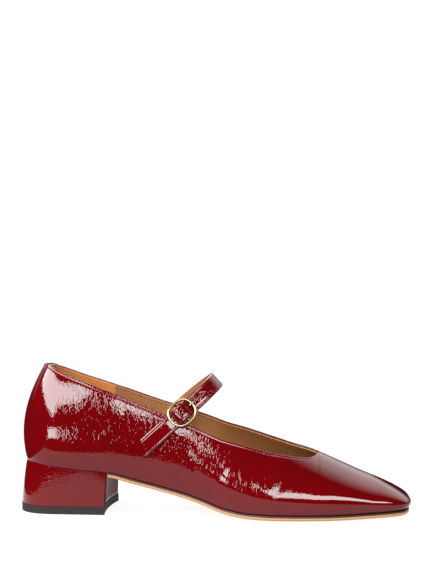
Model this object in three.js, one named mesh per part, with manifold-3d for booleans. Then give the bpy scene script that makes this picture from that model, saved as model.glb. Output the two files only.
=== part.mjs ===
// A low-heeled mary jane for the right foot: a one-piece patent upper on a thin leather sole and a
// block heel, with an instep strap that runs through an oval buckle on the outer side.
// Millimetres. +X runs to the toe, +Y to the inner side of the foot and +Z up.
import * as THREE from "three";
import Module from "manifold-3d";

const wasm = await Module();
wasm.setup();

// The last, the foot form that the rest is worked out from.
const LAST_LENGTH = 242.5; // along the feather edge, where the upper meets the sole
const BALL_WIDTH = 75; // across the feather edge at the ball
const LAST_HEIGHT = 61.5; // feather edge to the crest of the instep
const HEEL_HEIGHT = 32.5; // floor to the feather edge at the back
const HEEL_ROUND = 24; // length of the rounded back of the plan
const HEEL_SQUARENESS = 2.3; // 2 is an ellipse, and more is squarer
const TOE_ROUND = 23; // length of the rounded front of the plan
const TOE_SQUARENESS = 4.2;
const THROAT_FROM_TOE = 55; // tip of the toe to the front end of the opening

// Upper, insole, sole and heel.
const WALL = 2.0; // upper leather with its lining
const INSOLE_THICKNESS = 2.2;
const SOLE_THICKNESS = 2.9; // at its edge
const SOLE_CROWN = 0.55; // how far the middle of the underside stands below its edge
const SOLE_MARGIN = 0.9; // how far the sole stands out beyond the feather edge
const SOLE_BEVEL = 0.9; // the pared lower corner of the sole's edge
const HEEL_LENGTH = 56.1; // back of the feather edge to the heel breast
const HEEL_BREAST_HOLLOW = 2.2; // depth of the curve across the heel breast
const HEEL_BREAST_LEAN = 1.0; // how far the breast leans back on its way down
const HEEL_FLARE = 3.0; // how far the heel's foot stands out behind its top
const HEEL_FOOT_WIDTH = 51.4;
const TOP_PIECE = 5.0; // thickness of the rubber under the heel
const TOP_PIECE_LIP = 0.25; // how far the rubber stands out beyond the heel
const GAP = 0.3; // between pieces that meet on a curve
const FLAT_GAP = 0.1; // between pieces that meet on a flat

// The strap, its buckle and the chape, the short strap that holds the buckle.
const STRAP_WIDTH = 10.4;
const STRAP_THICKNESS = 1.6;
const STRAP_FROM_BACK = 99.2; // where the strap crosses the outer topline
const STRAP_TILT = THREE.MathUtils.degToRad(42); // the strap leans forward over the instep
const STRAP_RISE = 26.2; // buckle to the top of the loop
const STRAP_DRIFT = 4.1; // how far the loop drifts back on its way over
const STRAP_TAIL = 31.6; // buckle to the middle of the free end
const STRAP_TAIL_SLANT = 2.4; // the free end is cut at a slant
const STRAP_TUCK = 14; // length of the inner end, fixed inside the quarter
const HOLE_DIAMETER = 1.6;
const HOLE_PITCH = 6.5;
const HOLES = 3; // the prong is in the first
const BUCKLE_LIFT = 4.7; // buckle's middle above the topline, along the strap
const BUCKLE_LENGTH = 18.6;
const BUCKLE_WIDTH = 16.4;
const BUCKLE_SQUARENESS = 2.4;
const BUCKLE_WIRE = 1.6; // diameter
const BUCKLE_CLEARANCE = 0.8; // between the frame and the strap that runs under it
const BAR_DIAMETER = 1.4;
const BAR_DROP = 2.0; // the bar sits this far inside the frame's plane
const PRONG_DIAMETER = 1.0;
const CHAPE_WIDTH = 8.4;
const CHAPE_LEATHER = 0.8; // one layer round the bar, two below it
const CHAPE_TUCK = 14; // length inside the quarter

// A table with named columns: each row becomes an object with a value under each name.
function tableOf(columns, rows) {
  const names = columns.split(" ");
  return rows.map((row) => Object.fromEntries(names.map((name, i) => [name, row[i]])));
}

// The last, section by section. "at" is a share of the length and "rise" the feather edge's height
// above a flat sole, as a share of the heel's. "centre", "width", "swellOut", "swellIn" and "crestIn"
// are shares of half the ball width: the middle and half width of the feather edge, how far the wall
// swells beyond it on each side, and how far the crest lies to the inner side. "swellAt" and "crest"
// are shares of the last's height: where the wall swells most, and the crest. "wall" and "crown" say
// how full the section is above the swell and beside the crest.
const SECTIONS = tableOf("at rise centre width swellOut swellIn swellAt crest crestIn wall crown", [
  [0.0, 1.0, 0.0, 0.69, 0.056, 0.056, 0.29, 1.17, 0.0, 0.5, 0.2],
  [0.04, 0.976, 0.0, 0.695, 0.064, 0.064, 0.29, 1.28, 0.0, 0.56, 0.33],
  [0.085, 0.918, 0.0, 0.7, 0.07, 0.07, 0.29, 1.36, 0.0, 0.6, 0.45],
  [0.157, 0.849, -0.004, 0.702, 0.08, 0.08, 0.3, 1.37, 0.0, 0.64, 0.5],
  [0.24, 0.788, -0.01, 0.68, 0.1, 0.11, 0.33, 1.27, 0.02, 0.74, 0.55],
  [0.29, 0.671, -0.027, 0.64, 0.115, 0.14, 0.36, 1.2, 0.03, 0.8, 0.58],
  [0.353, 0.538, -0.05, 0.61, 0.125, 0.175, 0.39, 1.12, 0.045, 0.82, 0.6],
  [0.414, 0.411, -0.08, 0.613, 0.12, 0.19, 0.38, 1.06, 0.06, 0.78, 0.6],
  [0.476, 0.255, -0.084, 0.684, 0.1, 0.175, 0.33, 1.0, 0.075, 0.68, 0.56],
  [0.538, 0.08, -0.075, 0.8, 0.085, 0.135, 0.25, 0.94, 0.09, 0.58, 0.5],
  [0.6, 0.01, -0.059, 0.912, 0.075, 0.095, 0.19, 0.86, 0.105, 0.5, 0.45],
  [0.66, 0.0, -0.045, 0.987, 0.068, 0.075, 0.155, 0.757, 0.115, 0.43, 0.41],
  [0.71, 0.0, -0.027, 1.0, 0.062, 0.066, 0.14, 0.66, 0.12, 0.4, 0.39],
  [0.776, 0.0, 0.0, 0.973, 0.06, 0.06, 0.125, 0.54, 0.12, 0.39, 0.4],
  [0.827, 0.0, 0.007, 0.895, 0.06, 0.06, 0.115, 0.452, 0.115, 0.38, 0.43],
  [0.88, 0.008, 0.015, 0.79, 0.06, 0.06, 0.1, 0.357, 0.11, 0.36, 0.46],
  [0.93, 0.02, 0.03, 0.7, 0.062, 0.062, 0.08, 0.273, 0.1, 0.32, 0.48],
  [1.0, 0.04, 0.05, 0.575, 0.064, 0.064, 0.06, 0.14, 0.09, 0.2, 0.52],
]);

// The topline, the edge of the opening: its height on each side, as a share of the crest's there.
// It closes on the crest at the throat.
const TOPLINE = tableOf("at out in", [
  [0.05, 0.773, 0.766],
  [0.07, 0.755, 0.718],
  [0.1, 0.715, 0.687],
  [0.125, 0.691, 0.667],
  [0.153, 0.668, 0.647],
  [0.187, 0.65, 0.633],
  [0.222, 0.643, 0.631],
  [0.256, 0.647, 0.64],
  [0.29, 0.66, 0.661],
  [0.36, 0.678, 0.696],
  [0.44, 0.683, 0.738],
  [0.51, 0.705, 0.786],
  [0.58, 0.737, 0.839],
  [0.64, 0.752, 0.861],
  [0.695, 0.805, 0.9],
  [0.745, 0.88, 0.966],
  [1 - THROAT_FROM_TOE / LAST_LENGTH, 1.0, 1.0],
]);

// How the heel's side runs from its foot (0) to its top (1): a share of the way out to the top's
// outline for a share of the way up.
const HEEL_SIDE_POWER = 1.6;

const OUT = -1; // the outer side of a right shoe
const IN = 1;
const HALF_BALL = BALL_WIDTH / 2;
const TOE_HUB = LAST_LENGTH - TOE_ROUND;
const THROAT = LAST_LENGTH - THROAT_FROM_TOE;

// A smooth curve through one column of a table, which never swings past its rows.
function along(table, column, at) {
  const end = table.length - 1;
  const secant = (i) => (table[i + 1][column] - table[i][column]) / (table[i + 1].at - table[i].at);
  const slope = (i) => {
    if (i === 0) return secant(0);
    if (i === end) return secant(end - 1);
    const [before, after] = [secant(i - 1), secant(i)];
    return before * after <= 0 ? 0 : (2 * before * after) / (before + after);
  };
  let i = 0;
  while (i < end - 1 && at > table[i + 1].at) i += 1;
  const span = table[i + 1].at - table[i].at;
  const t = THREE.MathUtils.clamp((at - table[i].at) / span, 0, 1);
  const step = table[i + 1][column] - table[i][column];
  const leave = slope(i) * span;
  const arrive = slope(i + 1) * span;
  const cubic = leave + arrive - 2 * step;
  return table[i][column] + t * (leave + t * (step - leave - cubic + t * cubic));
}

const last = (column, x) => along(SECTIONS, column, x / LAST_LENGTH);
const FOREPART = SOLE_CROWN + SOLE_THICKNESS + GAP; // feather edge above the floor at the ball
const feather = (x) => FOREPART + last("rise", x) * (HEEL_HEIGHT - FOREPART);
const crestHeight = (x) => LAST_HEIGHT * last("crest", x);

// What is left of the full width near a rounded end, a share of the way round.
const roundEnd = (share, power) => (1 - Math.min(Math.max(share, 0), 1) ** power) ** (1 / power);

// A column of the upper: a place on the feather edge, and the hub that its section leans towards.
function columnAt(x, side) {
  const back = roundEnd((HEEL_ROUND - x) / HEEL_ROUND, HEEL_SQUARENESS);
  const front = roundEnd((x - TOE_HUB) / TOE_ROUND, TOE_SQUARENESS);
  const y = HALF_BALL * (last("centre", x) + side * last("width", x) * back * front);
  const foot = new THREE.Vector2(x, y);
  const hubX = THREE.MathUtils.clamp(x, HEEL_ROUND, TOE_HUB);
  const hub = new THREE.Vector2(hubX, HALF_BALL * last("crestIn", hubX));
  const out = foot.clone().sub(hub);
  const reach = out.length();
  return { x, side, foot, hub, reach, out: out.normalize() };
}

// The crest's slope just behind the rounded toe, which the crest keeps over it.
const TOE_SLOPE = (crestHeight(TOE_HUB - TOE_ROUND / 2) - crestHeight(TOE_HUB)) / (TOE_ROUND / 2);

// A point on a column's section: s is 0 at the feather edge, 1 at the swell and 2 at the crest.
function sectionPoint(column, s) {
  const { x, side, hub, reach, out } = column;
  const swell = HALF_BALL * last(side === OUT ? "swellOut" : "swellIn", x);
  const swellHeight = LAST_HEIGHT * last("swellAt", x);
  const full = reach + swell;
  let away;
  let height;
  if (s <= 1) {
    away = reach + swell * s * (2 - s);
    height = swellHeight * s * (0.9 + 0.1 * s);
  } else {
    const onToe = x > TOE_HUB;
    const crest = onToe ? crestHeight(TOE_HUB) + feather(TOE_HUB) - feather(x) : crestHeight(x);
    const crown = last("crown", x) * full;
    const fall = onToe ? TOE_SLOPE * crown * out.x : 0;
    const wallTop = swellHeight + last("wall", x) * (crest - swellHeight);
    const t = s - 1;
    const [a, b, c, d] = [(1 - t) ** 3, 3 * t * (1 - t) ** 2, 3 * t * t * (1 - t), t ** 3];
    away = (a + b) * full + c * crown;
    height = a * swellHeight + b * wallTop + c * (crest - fall) + d * crest;
  }
  return new THREE.Vector3(hub.x + out.x * away, hub.y + out.y * away, feather(x) + height);
}

// The s between two others where a rising test turns positive.
function turningPoint(test, from, to) {
  let [low, high] = [from, to];
  for (let i = 0; i < 40; i += 1) {
    const middle = (low + high) / 2;
    if (test(middle) < 0) low = middle;
    else high = middle;
  }
  return (low + high) / 2;
}

const toplineHeight = (x, side) =>
  feather(x) + crestHeight(x) * along(TOPLINE, side === OUT ? "out" : "in", x / LAST_LENGTH);

// Where a column stops: at the topline, or at the crest in front of the throat.
function columnTop(column) {
  if (column.x >= THROAT) return 2;
  const above = (s) => {
    const point = sectionPoint(column, s);
    return point.z - toplineHeight(point.x, column.side);
  };
  return turningPoint(above, 1, 2);
}

// The upper's outer face on one side, at a place seen from the side.
function quarterPoint(x, z, side) {
  const column = columnAt(x, side);
  const s = turningPoint((t) => sectionPoint(column, t).z - z, 0, 2);
  return sectionPoint(column, s);
}

// Places along the plan from one end to the other, closer together round the ends and at the throat.
function stations() {
  const list = [];
  const spread = (from, to, steps) => {
    for (let i = 0; i < steps; i += 1) list.push(from + ((to - from) * i) / steps);
  };
  const quarterTurn = Math.PI / 2;
  const heelSteps = 7;
  for (let i = 0; i < heelSteps; i += 1)
    list.push(HEEL_ROUND * (1 - Math.cos((quarterTurn * i) / heelSteps) ** (2 / HEEL_SQUARENESS)));
  spread(HEEL_ROUND, HEEL_LENGTH, 5);
  spread(HEEL_LENGTH, THROAT, 18);
  const beforeThroat = THROAT - list[list.length - 1];
  for (const share of [0.35, 0.09]) list.push(THROAT - share * beforeThroat);
  spread(THROAT, TOE_HUB, 4);
  const toeSteps = 9;
  for (let i = 0; i <= toeSteps; i += 1)
    list.push(TOE_HUB + TOE_ROUND * Math.sin((quarterTurn * i) / toeSteps) ** (2 / TOE_SQUARENESS));
  return list;
}
const STATIONS = stations();

const placeKey = (p) => p.toArray().map((v) => Math.round(v * 2000)).join();
const quad = (a, b, c, d) => [[a, b, c], [a, c, d]];

// One closed body from points and faces: points that coincide become one, and it faces outwards.
function bodyFrom(points, faces) {
  const ids = new Map();
  const kept = [];
  const welded = points.map((p) => {
    const key = placeKey(p);
    if (!ids.has(key)) {
      ids.set(key, kept.length);
      kept.push(p);
    }
    return ids.get(key);
  });
  const triangles = faces
    .map((face) => face.map((i) => welded[i]))
    .filter(([a, b, c]) => a !== b && b !== c && c !== a);
  const volume = triangles.reduce((sum, [a, b, c]) => sum + kept[a].dot(kept[b].clone().cross(kept[c])), 0);
  const used = [...new Set(triangles.flat())];
  const order = new Map(used.map((id, i) => [id, i]));
  const turned = ([a, b, c]) => (volume > 0 ? [a, b, c] : [a, c, b]);
  const geometry = new THREE.BufferGeometry();
  const position = used.flatMap((id) => kept[id].toArray());
  geometry.setAttribute("position", new THREE.Float32BufferAttribute(position, 3));
  geometry.setIndex(triangles.flatMap((face) => turned(face).map((id) => order.get(id))));
  geometry.computeVertexNormals();
  return geometry;
}

// Normals of a grid of points. Points that coincide, as at a pole, share one.
function surfaceNormals(grid, closedRows) {
  const rows = grid.length;
  const sums = new Map();
  const add = (a, b, c) => {
    const normal = b.clone().sub(a).cross(c.clone().sub(a));
    for (const p of [a, b, c]) {
      if (!sums.has(placeKey(p))) sums.set(placeKey(p), new THREE.Vector3());
      sums.get(placeKey(p)).add(normal);
    }
  };
  for (let i = 0; i < (closedRows ? rows : rows - 1); i += 1)
    for (let j = 0; j < grid[0].length - 1; j += 1) {
      const next = (i + 1) % rows;
      add(grid[i][j], grid[next][j], grid[next][j + 1]);
      add(grid[i][j], grid[next][j + 1], grid[i][j + 1]);
    }
  return grid.map((row) => row.map((p) => sums.get(placeKey(p)).clone().normalize()));
}

// A body between two grids of rows and columns of points. The rows may run round in a ring, and
// open(i) says where the far edge of row i has to be closed.
function closeGrids(front, back, ring = false, open = () => true) {
  const rows = front.length;
  const columns = front[0].length;
  const end = columns - 1;
  const id = (layer, i, j) => (layer * rows + (i % rows)) * columns + j;
  const faces = [];
  for (let i = 0; i < (ring ? rows : rows - 1); i += 1) {
    for (let j = 0; j < end; j += 1)
      faces.push(
        ...quad(id(0, i, j), id(0, i + 1, j), id(0, i + 1, j + 1), id(0, i, j + 1)),
        ...quad(id(1, i, j), id(1, i, j + 1), id(1, i + 1, j + 1), id(1, i + 1, j)),
      );
    faces.push(...quad(id(1, i, 0), id(1, i + 1, 0), id(0, i + 1, 0), id(0, i, 0)));
    if (open(i)) faces.push(...quad(id(0, i, end), id(0, i + 1, end), id(1, i + 1, end), id(1, i, end)));
  }
  if (!ring)
    for (let j = 0; j < end; j += 1) {
      const i = rows - 1;
      faces.push(
        ...quad(id(0, 0, j), id(0, 0, j + 1), id(1, 0, j + 1), id(1, 0, j)),
        ...quad(id(1, i, j), id(1, i, j + 1), id(0, i, j + 1), id(0, i, j)),
      );
    }
  return bodyFrom([...front.flat(), ...back.flat()], faces);
}

// The upper: the last's face from the feather edge to the topline or crest, thickened inwards.
function upperGeometry() {
  const lowRows = 2;
  const highRows = 9;
  const columns = [
    ...STATIONS.map((x) => columnAt(x, OUT)),
    ...STATIONS.slice(1, -1).reverse().map((x) => columnAt(x, IN)),
  ];
  const outer = columns.map((column) => {
    const top = columnTop(column);
    const points = [];
    for (let j = 0; j <= lowRows; j += 1) points.push(sectionPoint(column, j / lowRows));
    for (let j = 1; j <= highRows; j += 1)
      points.push(sectionPoint(column, 1 + ((top - 1) * j) / highRows));
    return points;
  });
  const normals = surfaceNormals(outer, true);
  const inner = outer.map((points, i) =>
    points.map((point, j) => {
      const normal = normals[i][j];
      if (j === 0) normal.setZ(0).normalize();
      return point.clone().addScaledVector(normal, -WALL);
    }),
  );
  const isOpen = (i) => Math.min(columns[i].x, columns[(i + 1) % columns.length].x) < THROAT;
  return closeGrids(outer, inner, true, isOpen);
}

// The feather edge moved outwards by a margin: for each station, its outer and its inner place.
function plan(margin) {
  const ring = [
    ...STATIONS.map((x) => columnAt(x, OUT).foot),
    ...STATIONS.slice(1, -1).reverse().map((x) => columnAt(x, IN).foot),
  ];
  const size = ring.length;
  const moved = ring.map((point, i) => {
    const before = ring[(i + size - 1) % size];
    const after = ring[(i + 1) % size];
    const normal = new THREE.Vector2(after.y - before.y, before.x - after.x).normalize();
    return point.clone().addScaledVector(normal, margin);
  });
  return STATIONS.map((x, i) => ({ x, pair: [moved[i], moved[(size - i) % size]] }));
}

// A slab over rows of the plan, through levels from its top to its bottom. place gives the point for
// a level, a row, a share of the way across and the row's number.
function slabGeometry(rows, levels, place) {
  const across = 6;
  const shares = Array.from({ length: across + 1 }, (_, j) => j / across);
  const grids = levels.map((level) =>
    rows.map((row, i) => shares.map((share) => place(level, row, share, i))),
  );
  const id = (level, i, j) => (level * rows.length + i) * shares.length + j;
  const front = rows.length - 1;
  const bottom = levels.length - 1;
  const rim = [];
  for (let j = 0; j < across; j += 1) rim.push([0, j]);
  for (let i = 0; i < front; i += 1) rim.push([i, across]);
  for (let j = across; j > 0; j -= 1) rim.push([front, j]);
  for (let i = front; i > 0; i -= 1) rim.push([i, 0]);
  const faces = [];
  for (let i = 0; i < front; i += 1)
    for (let j = 0; j < across; j += 1)
      faces.push(
        ...quad(id(0, i, j), id(0, i + 1, j), id(0, i + 1, j + 1), id(0, i, j + 1)),
        ...quad(id(bottom, i, j), id(bottom, i, j + 1), id(bottom, i + 1, j + 1), id(bottom, i + 1, j)),
      );
  rim.forEach(([i, j], k) => {
    const [m, n] = rim[(k + 1) % rim.length];
    for (let level = 0; level < bottom; level += 1)
      faces.push(...quad(id(level, i, j), id(level, m, n), id(level + 1, m, n), id(level + 1, i, j)));
  });
  return bodyFrom(grids.flat(2), faces);
}

const acrossPair = (pair, share) => pair[0].clone().lerp(pair[1], share);
const breastHollow = (share) => HEEL_BREAST_HOLLOW * 4 * share * (1 - share);

const crownShare = (share) => Math.min(1, 4.5 * share * (1 - share)); // flat in its middle third

function outsoleGeometry() {
  const wide = plan(SOLE_MARGIN);
  const pared = plan(SOLE_MARGIN - SOLE_BEVEL);
  const rows = wide.map((row, i) => ({ x: row.x, wide: row.pair, pared: pared[i].pair }));
  const levels = [
    { edge: "wide", below: GAP },
    { edge: "wide", below: GAP + SOLE_THICKNESS - SOLE_BEVEL },
    { edge: "pared", below: GAP + SOLE_THICKNESS },
  ];
  const forepart = rows.filter((row) => row.x > HEEL_LENGTH - GAP);
  return slabGeometry(forepart, levels, (level, row, share, i) => {
    const point = acrossPair(row[level.edge], share);
    if (i === 0) point.x = HEEL_LENGTH + GAP - breastHollow(share);
    const crown = level.edge === "pared" ? SOLE_CROWN * crownShare(share) : 0;
    return new THREE.Vector3(point.x, point.y, feather(point.x) - level.below - crown);
  });
}

function insoleGeometry() {
  return slabGeometry(plan(-WALL - GAP), [INSOLE_THICKNESS, 0], (above, row, share) => {
    const point = acrossPair(row.pair, share);
    return new THREE.Vector3(point.x, point.y, feather(point.x) + above);
  });
}

// The heel's outline at its foot, for a station of the feather edge.
function heelFoot(x, side, lip) {
  const back = -HEEL_FLARE - lip;
  const front = HEEL_LENGTH - HEEL_BREAST_LEAN + lip;
  const end = roundEnd((HEEL_ROUND - x) / HEEL_ROUND, HEEL_SQUARENESS);
  const y = side * (HEEL_FOOT_WIDTH / 2 + lip) * end;
  return new THREE.Vector2(back + ((front - back) * x) / HEEL_LENGTH, y);
}

const heelRows = () => plan(0).filter((row) => row.x < HEEL_LENGTH + GAP);
const hollowShare = (x) => (x / HEEL_LENGTH) ** 4; // the breast's curve dies out towards the back

function heelBlockGeometry() {
  const foot = TOP_PIECE + FLAT_GAP;
  return slabGeometry(heelRows(), [1, 0.8, 0.55, 0.3, 0], (up, row, share) => {
    const top = acrossPair(row.pair, share);
    const low = acrossPair([heelFoot(row.x, OUT, 0), heelFoot(row.x, IN, 0)], share);
    const point = low.lerp(top, up ** HEEL_SIDE_POWER);
    point.x -= breastHollow(share) * hollowShare(row.x);
    return new THREE.Vector3(point.x, point.y, foot + (feather(point.x) - GAP - foot) * up);
  });
}

function topPieceGeometry() {
  return slabGeometry(heelRows(), [TOP_PIECE, 0], (z, row, share) => {
    const edges = [OUT, IN].map((side) => heelFoot(row.x, side, TOP_PIECE_LIP));
    const point = acrossPair(edges, share);
    point.x -= breastHollow(share) * hollowShare(row.x);
    return new THREE.Vector3(point.x, point.y, z);
  });
}

// Directions of the strap seen from the side: along it, and across it towards its front edge.
const ALONG = new THREE.Vector3(Math.cos(STRAP_TILT), 0, Math.sin(STRAP_TILT));
const ACROSS = new THREE.Vector3(Math.sin(STRAP_TILT), 0, -Math.cos(STRAP_TILT));

// Where the middle of the strap crosses a topline.
const OUTER_CROSSING = new THREE.Vector3(STRAP_FROM_BACK, 0, toplineHeight(STRAP_FROM_BACK, OUT));
const INNER_CROSSING = (() => {
  const start = OUTER_CROSSING.clone().addScaledVector(ACROSS, -STRAP_DRIFT);
  const place = (s) => start.clone().addScaledVector(ALONG, s);
  const above = (s) => place(s).z - toplineHeight(place(s).x, IN);
  return place(turningPoint(above, -STRAP_RISE, STRAP_RISE));
})();

// A point so far up and across from a crossing, on the quarter's outer face or off it by a depth.
function onQuarter(crossing, side, up, across, depth) {
  const surface = (u, v) => {
    const place = crossing.clone().addScaledVector(ALONG, u).addScaledVector(ACROSS, v);
    return quarterPoint(place.x, place.z, side);
  };
  const step = 0.5;
  const rise = surface(up + step, across).sub(surface(up - step, across)).normalize();
  const run = surface(up, across + step).sub(surface(up, across - step));
  const normal = rise.clone().cross(run).normalize();
  if (normal.y * side < 0) normal.negate();
  const point = surface(up, across).addScaledVector(normal, depth);
  return { point, rise, normal };
}

const STRAP_DEPTH = GAP + STRAP_THICKNESS / 2; // the strap's middle off the quarter's outer face
const TUCK_DEPTH = -(WALL + GAP + STRAP_THICKNESS / 2);
const LEAVE = 3; // this far above the topline the strap leaves the quarter's line

// The buckle's own frame: its middle, up along the strap, outwards, and across.
const STRAP_DROP = STRAP_THICKNESS / 2 + BUCKLE_CLEARANCE + BUCKLE_WIRE / 2; // strap below the frame
const BUCKLE = (() => {
  const { point, rise, normal } = onQuarter(OUTER_CROSSING, OUT, LEAVE, 0, STRAP_DEPTH);
  const across = new THREE.Vector3().crossVectors(normal, rise);
  if (across.dot(ACROSS) < 0) across.negate();
  const middle = point.addScaledVector(rise, BUCKLE_LIFT - LEAVE).addScaledVector(normal, STRAP_DROP);
  return { middle, up: rise, out: normal, across };
})();

function atBuckle(up, out, across) {
  const point = BUCKLE.middle.clone().addScaledVector(BUCKLE.up, up);
  return point.addScaledVector(BUCKLE.out, out).addScaledVector(BUCKLE.across, across);
}

// The strap stands out of its line to pass over the prong's eye on the bar.
const EYE = BAR_DIAMETER / 2 + GAP + PRONG_DIAMETER / 2; // radius to the middle of the eye's wire
const HUMP = STRAP_DROP + STRAP_THICKNESS / 2 + GAP + EYE + PRONG_DIAMETER / 2 - BAR_DROP;
const HUMP_HALF = BUCKLE_LENGTH / 2 - BUCKLE_WIRE;
const humpAt = (up) =>
  Math.abs(up) < HUMP_HALF ? HUMP * Math.cos((Math.PI * up) / (2 * HUMP_HALF)) ** 2 : 0;

// The strap's middle surface, row by row from its free end to the end inside the inner quarter.
function strapRows() {
  const shares = [-1, -0.72, -0.25, 0.25, 0.72, 1];
  const half = STRAP_WIDTH / 2;
  const rows = [];

  const tailLength = STRAP_TAIL - BUCKLE_LIFT;
  const tailSteps = 11;
  for (let i = 0; i < tailSteps; i += 1) {
    const up = (-tailLength * (tailSteps - i)) / tailSteps;
    const cut = (1 - i / tailSteps) ** 4;
    const row = shares.map((share) => {
      const slant = -cut * STRAP_TAIL_SLANT * share;
      return onQuarter(OUTER_CROSSING, OUT, up + slant, share * half, STRAP_DEPTH).point;
    });
    rows.push(row);
  }

  const straightEnd = BUCKLE_LENGTH / 2;
  const straightSteps = 19;
  for (let i = 0; i <= straightSteps; i += 1) {
    const up = ((BUCKLE_LIFT + straightEnd) * i) / straightSteps;
    const hold = 1 - THREE.MathUtils.smoothstep(up, LEAVE, 2 * LEAVE);
    const row = shares.map((share) => {
      const wall = onQuarter(OUTER_CROSSING, OUT, up, share * half, STRAP_DEPTH).point;
      const flat = atBuckle(up - BUCKLE_LIFT, -STRAP_DROP, share * half);
      return flat.lerp(wall, hold).addScaledVector(BUCKLE.out, humpAt(up - BUCKLE_LIFT));
    });
    rows.push(row);
  }

  const start = atBuckle(straightEnd, -STRAP_DROP, 0);
  const landing = onQuarter(INNER_CROSSING, IN, 0, 0, TUCK_DEPTH);
  const top = BUCKLE.middle.clone().addScaledVector(ALONG, STRAP_RISE);
  top.addScaledVector(ACROSS, -STRAP_DRIFT / 5);
  top.y = (start.y + landing.point.y) / 2;
  const rise = top.clone().sub(start).dot(ALONG);
  const fall = top.clone().sub(landing.point).dot(ALONG);
  const halfSpan = landing.point.y - top.y;
  const over = new THREE.Vector3(0, 1, 0).addScaledVector(ACROSS, -STRAP_DRIFT / (2 * halfSpan));
  const [shoulder, crown] = [0.52, 0.44]; // how full the loop is at its sides and at its top
  const nearArch = new THREE.CubicBezierCurve3(
    start,
    start.clone().addScaledVector(BUCKLE.up, rise * shoulder),
    top.clone().addScaledVector(over, -halfSpan * crown),
    top,
  );
  const farArch = new THREE.CubicBezierCurve3(
    top,
    top.clone().addScaledVector(over, halfSpan * crown),
    landing.point.clone().addScaledVector(landing.rise, fall * shoulder),
    landing.point,
  );
  const nearSteps = 8;
  for (let i = 1; i <= nearSteps; i += 1) {
    const middle = nearArch.getPoint(i / nearSteps);
    const turned = THREE.MathUtils.smoothstep(i / nearSteps, 0, 1);
    const across = BUCKLE.across.clone().lerp(ACROSS, turned).normalize();
    rows.push(shares.map((share) => middle.clone().addScaledVector(across, share * half)));
  }
  const farSteps = 12;
  for (let i = 1; i <= farSteps; i += 1) {
    const middle = farArch.getPoint(i / farSteps);
    const hold = THREE.MathUtils.smoothstep(i / farSteps, 0.7, 1);
    const row = shares.map((share) => {
      const wall = onQuarter(INNER_CROSSING, IN, 0, share * half, TUCK_DEPTH).point;
      const point = middle.clone().addScaledVector(ACROSS, share * half * (1 - hold));
      return point.addScaledVector(wall.sub(landing.point), hold);
    });
    rows.push(row);
  }

  const tuckSteps = 5;
  for (let i = 1; i <= tuckSteps; i += 1) {
    const up = (-STRAP_TUCK * i) / tuckSteps;
    rows.push(shares.map((share) => onQuarter(INNER_CROSSING, IN, up, share * half, TUCK_DEPTH).point));
  }
  return rows;
}

// A band with a thickness, from the rows of its middle surface.
function bandGeometry(rows, thickness) {
  const normals = surfaceNormals(rows, false);
  const layer = (away) =>
    rows.map((row, i) => row.map((p, j) => p.clone().addScaledVector(normals[i][j], away)));
  return closeGrids(layer(thickness / 2), layer(-thickness / 2));
}

function toManifold(geometry) {
  const vertProperties = new Float32Array(geometry.attributes.position.array);
  const triVerts = new Uint32Array(geometry.index.array);
  return new wasm.Manifold(new wasm.Mesh({ numProp: 3, vertProperties, triVerts }));
}

// The largest body of a cut or joined solid, without slivers where faces nearly met.
function fromManifold(solid) {
  const [body] = solid.decompose().sort((a, b) => b.volume() - a.volume());
  const { vertProperties, triVerts } = body.getMesh();
  const points = [];
  const faces = [];
  for (let i = 0; i < vertProperties.length; i += 3)
    points.push(new THREE.Vector3(...vertProperties.slice(i, i + 3)));
  for (let i = 0; i < triVerts.length; i += 3) faces.push([...triVerts.slice(i, i + 3)]);
  return bodyFrom(points, faces);
}

// A round wire along places in the buckle's frame, each given as [up, out, across].
function wireGeometry(path, radius, closed) {
  const sides = 8;
  const points = path.map((place) => atBuckle(...place));
  const count = points.length;
  const rings = points.map((p, i) => {
    const before = closed ? points[(i + count - 1) % count] : points[Math.max(i - 1, 0)];
    const after = closed ? points[(i + 1) % count] : points[Math.min(i + 1, count - 1)];
    const ahead = after.clone().sub(before).normalize();
    const guide = Math.abs(ahead.dot(BUCKLE.across)) < 0.9 ? BUCKLE.across : BUCKLE.up;
    const lift = closed && Math.abs(ahead.dot(BUCKLE.out)) < 0.01 ? BUCKLE.out.clone() : guide.clone();
    lift.addScaledVector(ahead, -lift.dot(ahead)).normalize();
    const sideways = new THREE.Vector3().crossVectors(ahead, lift);
    return Array.from({ length: sides }, (_, k) => {
      const turn = (2 * Math.PI * (k + 0.5)) / sides;
      const point = p.clone().addScaledVector(sideways, radius * Math.cos(turn));
      return point.addScaledVector(lift, radius * Math.sin(turn));
    });
  });
  const faces = [];
  const id = (i, k) => (i % count) * sides + (k % sides);
  for (let i = 0; i < (closed ? count : count - 1); i += 1)
    for (let k = 0; k < sides; k += 1)
      faces.push(...quad(id(i, k), id(i + 1, k), id(i + 1, k + 1), id(i, k + 1)));
  const end = count - 1;
  if (!closed)
    for (let k = 1; k < sides - 1; k += 1)
      faces.push([id(0, 0), id(0, k), id(0, k + 1)], [id(end, 0), id(end, k + 1), id(end, k)]);
  return bodyFrom(rings.flat(), faces);
}

// A smooth path through a few places in the buckle's frame.
function smoothPath(places, steps) {
  const curve = new THREE.CatmullRomCurve3(places.map((place) => new THREE.Vector3(...place)));
  return curve.getPoints(steps).map((point) => point.toArray());
}

const WIRE_UP = (BUCKLE_LENGTH - BUCKLE_WIRE) / 2; // middle of the wire, at the frame's ends
const WIRE_ACROSS = (BUCKLE_WIDTH - BUCKLE_WIRE) / 2; // and at its sides

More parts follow.
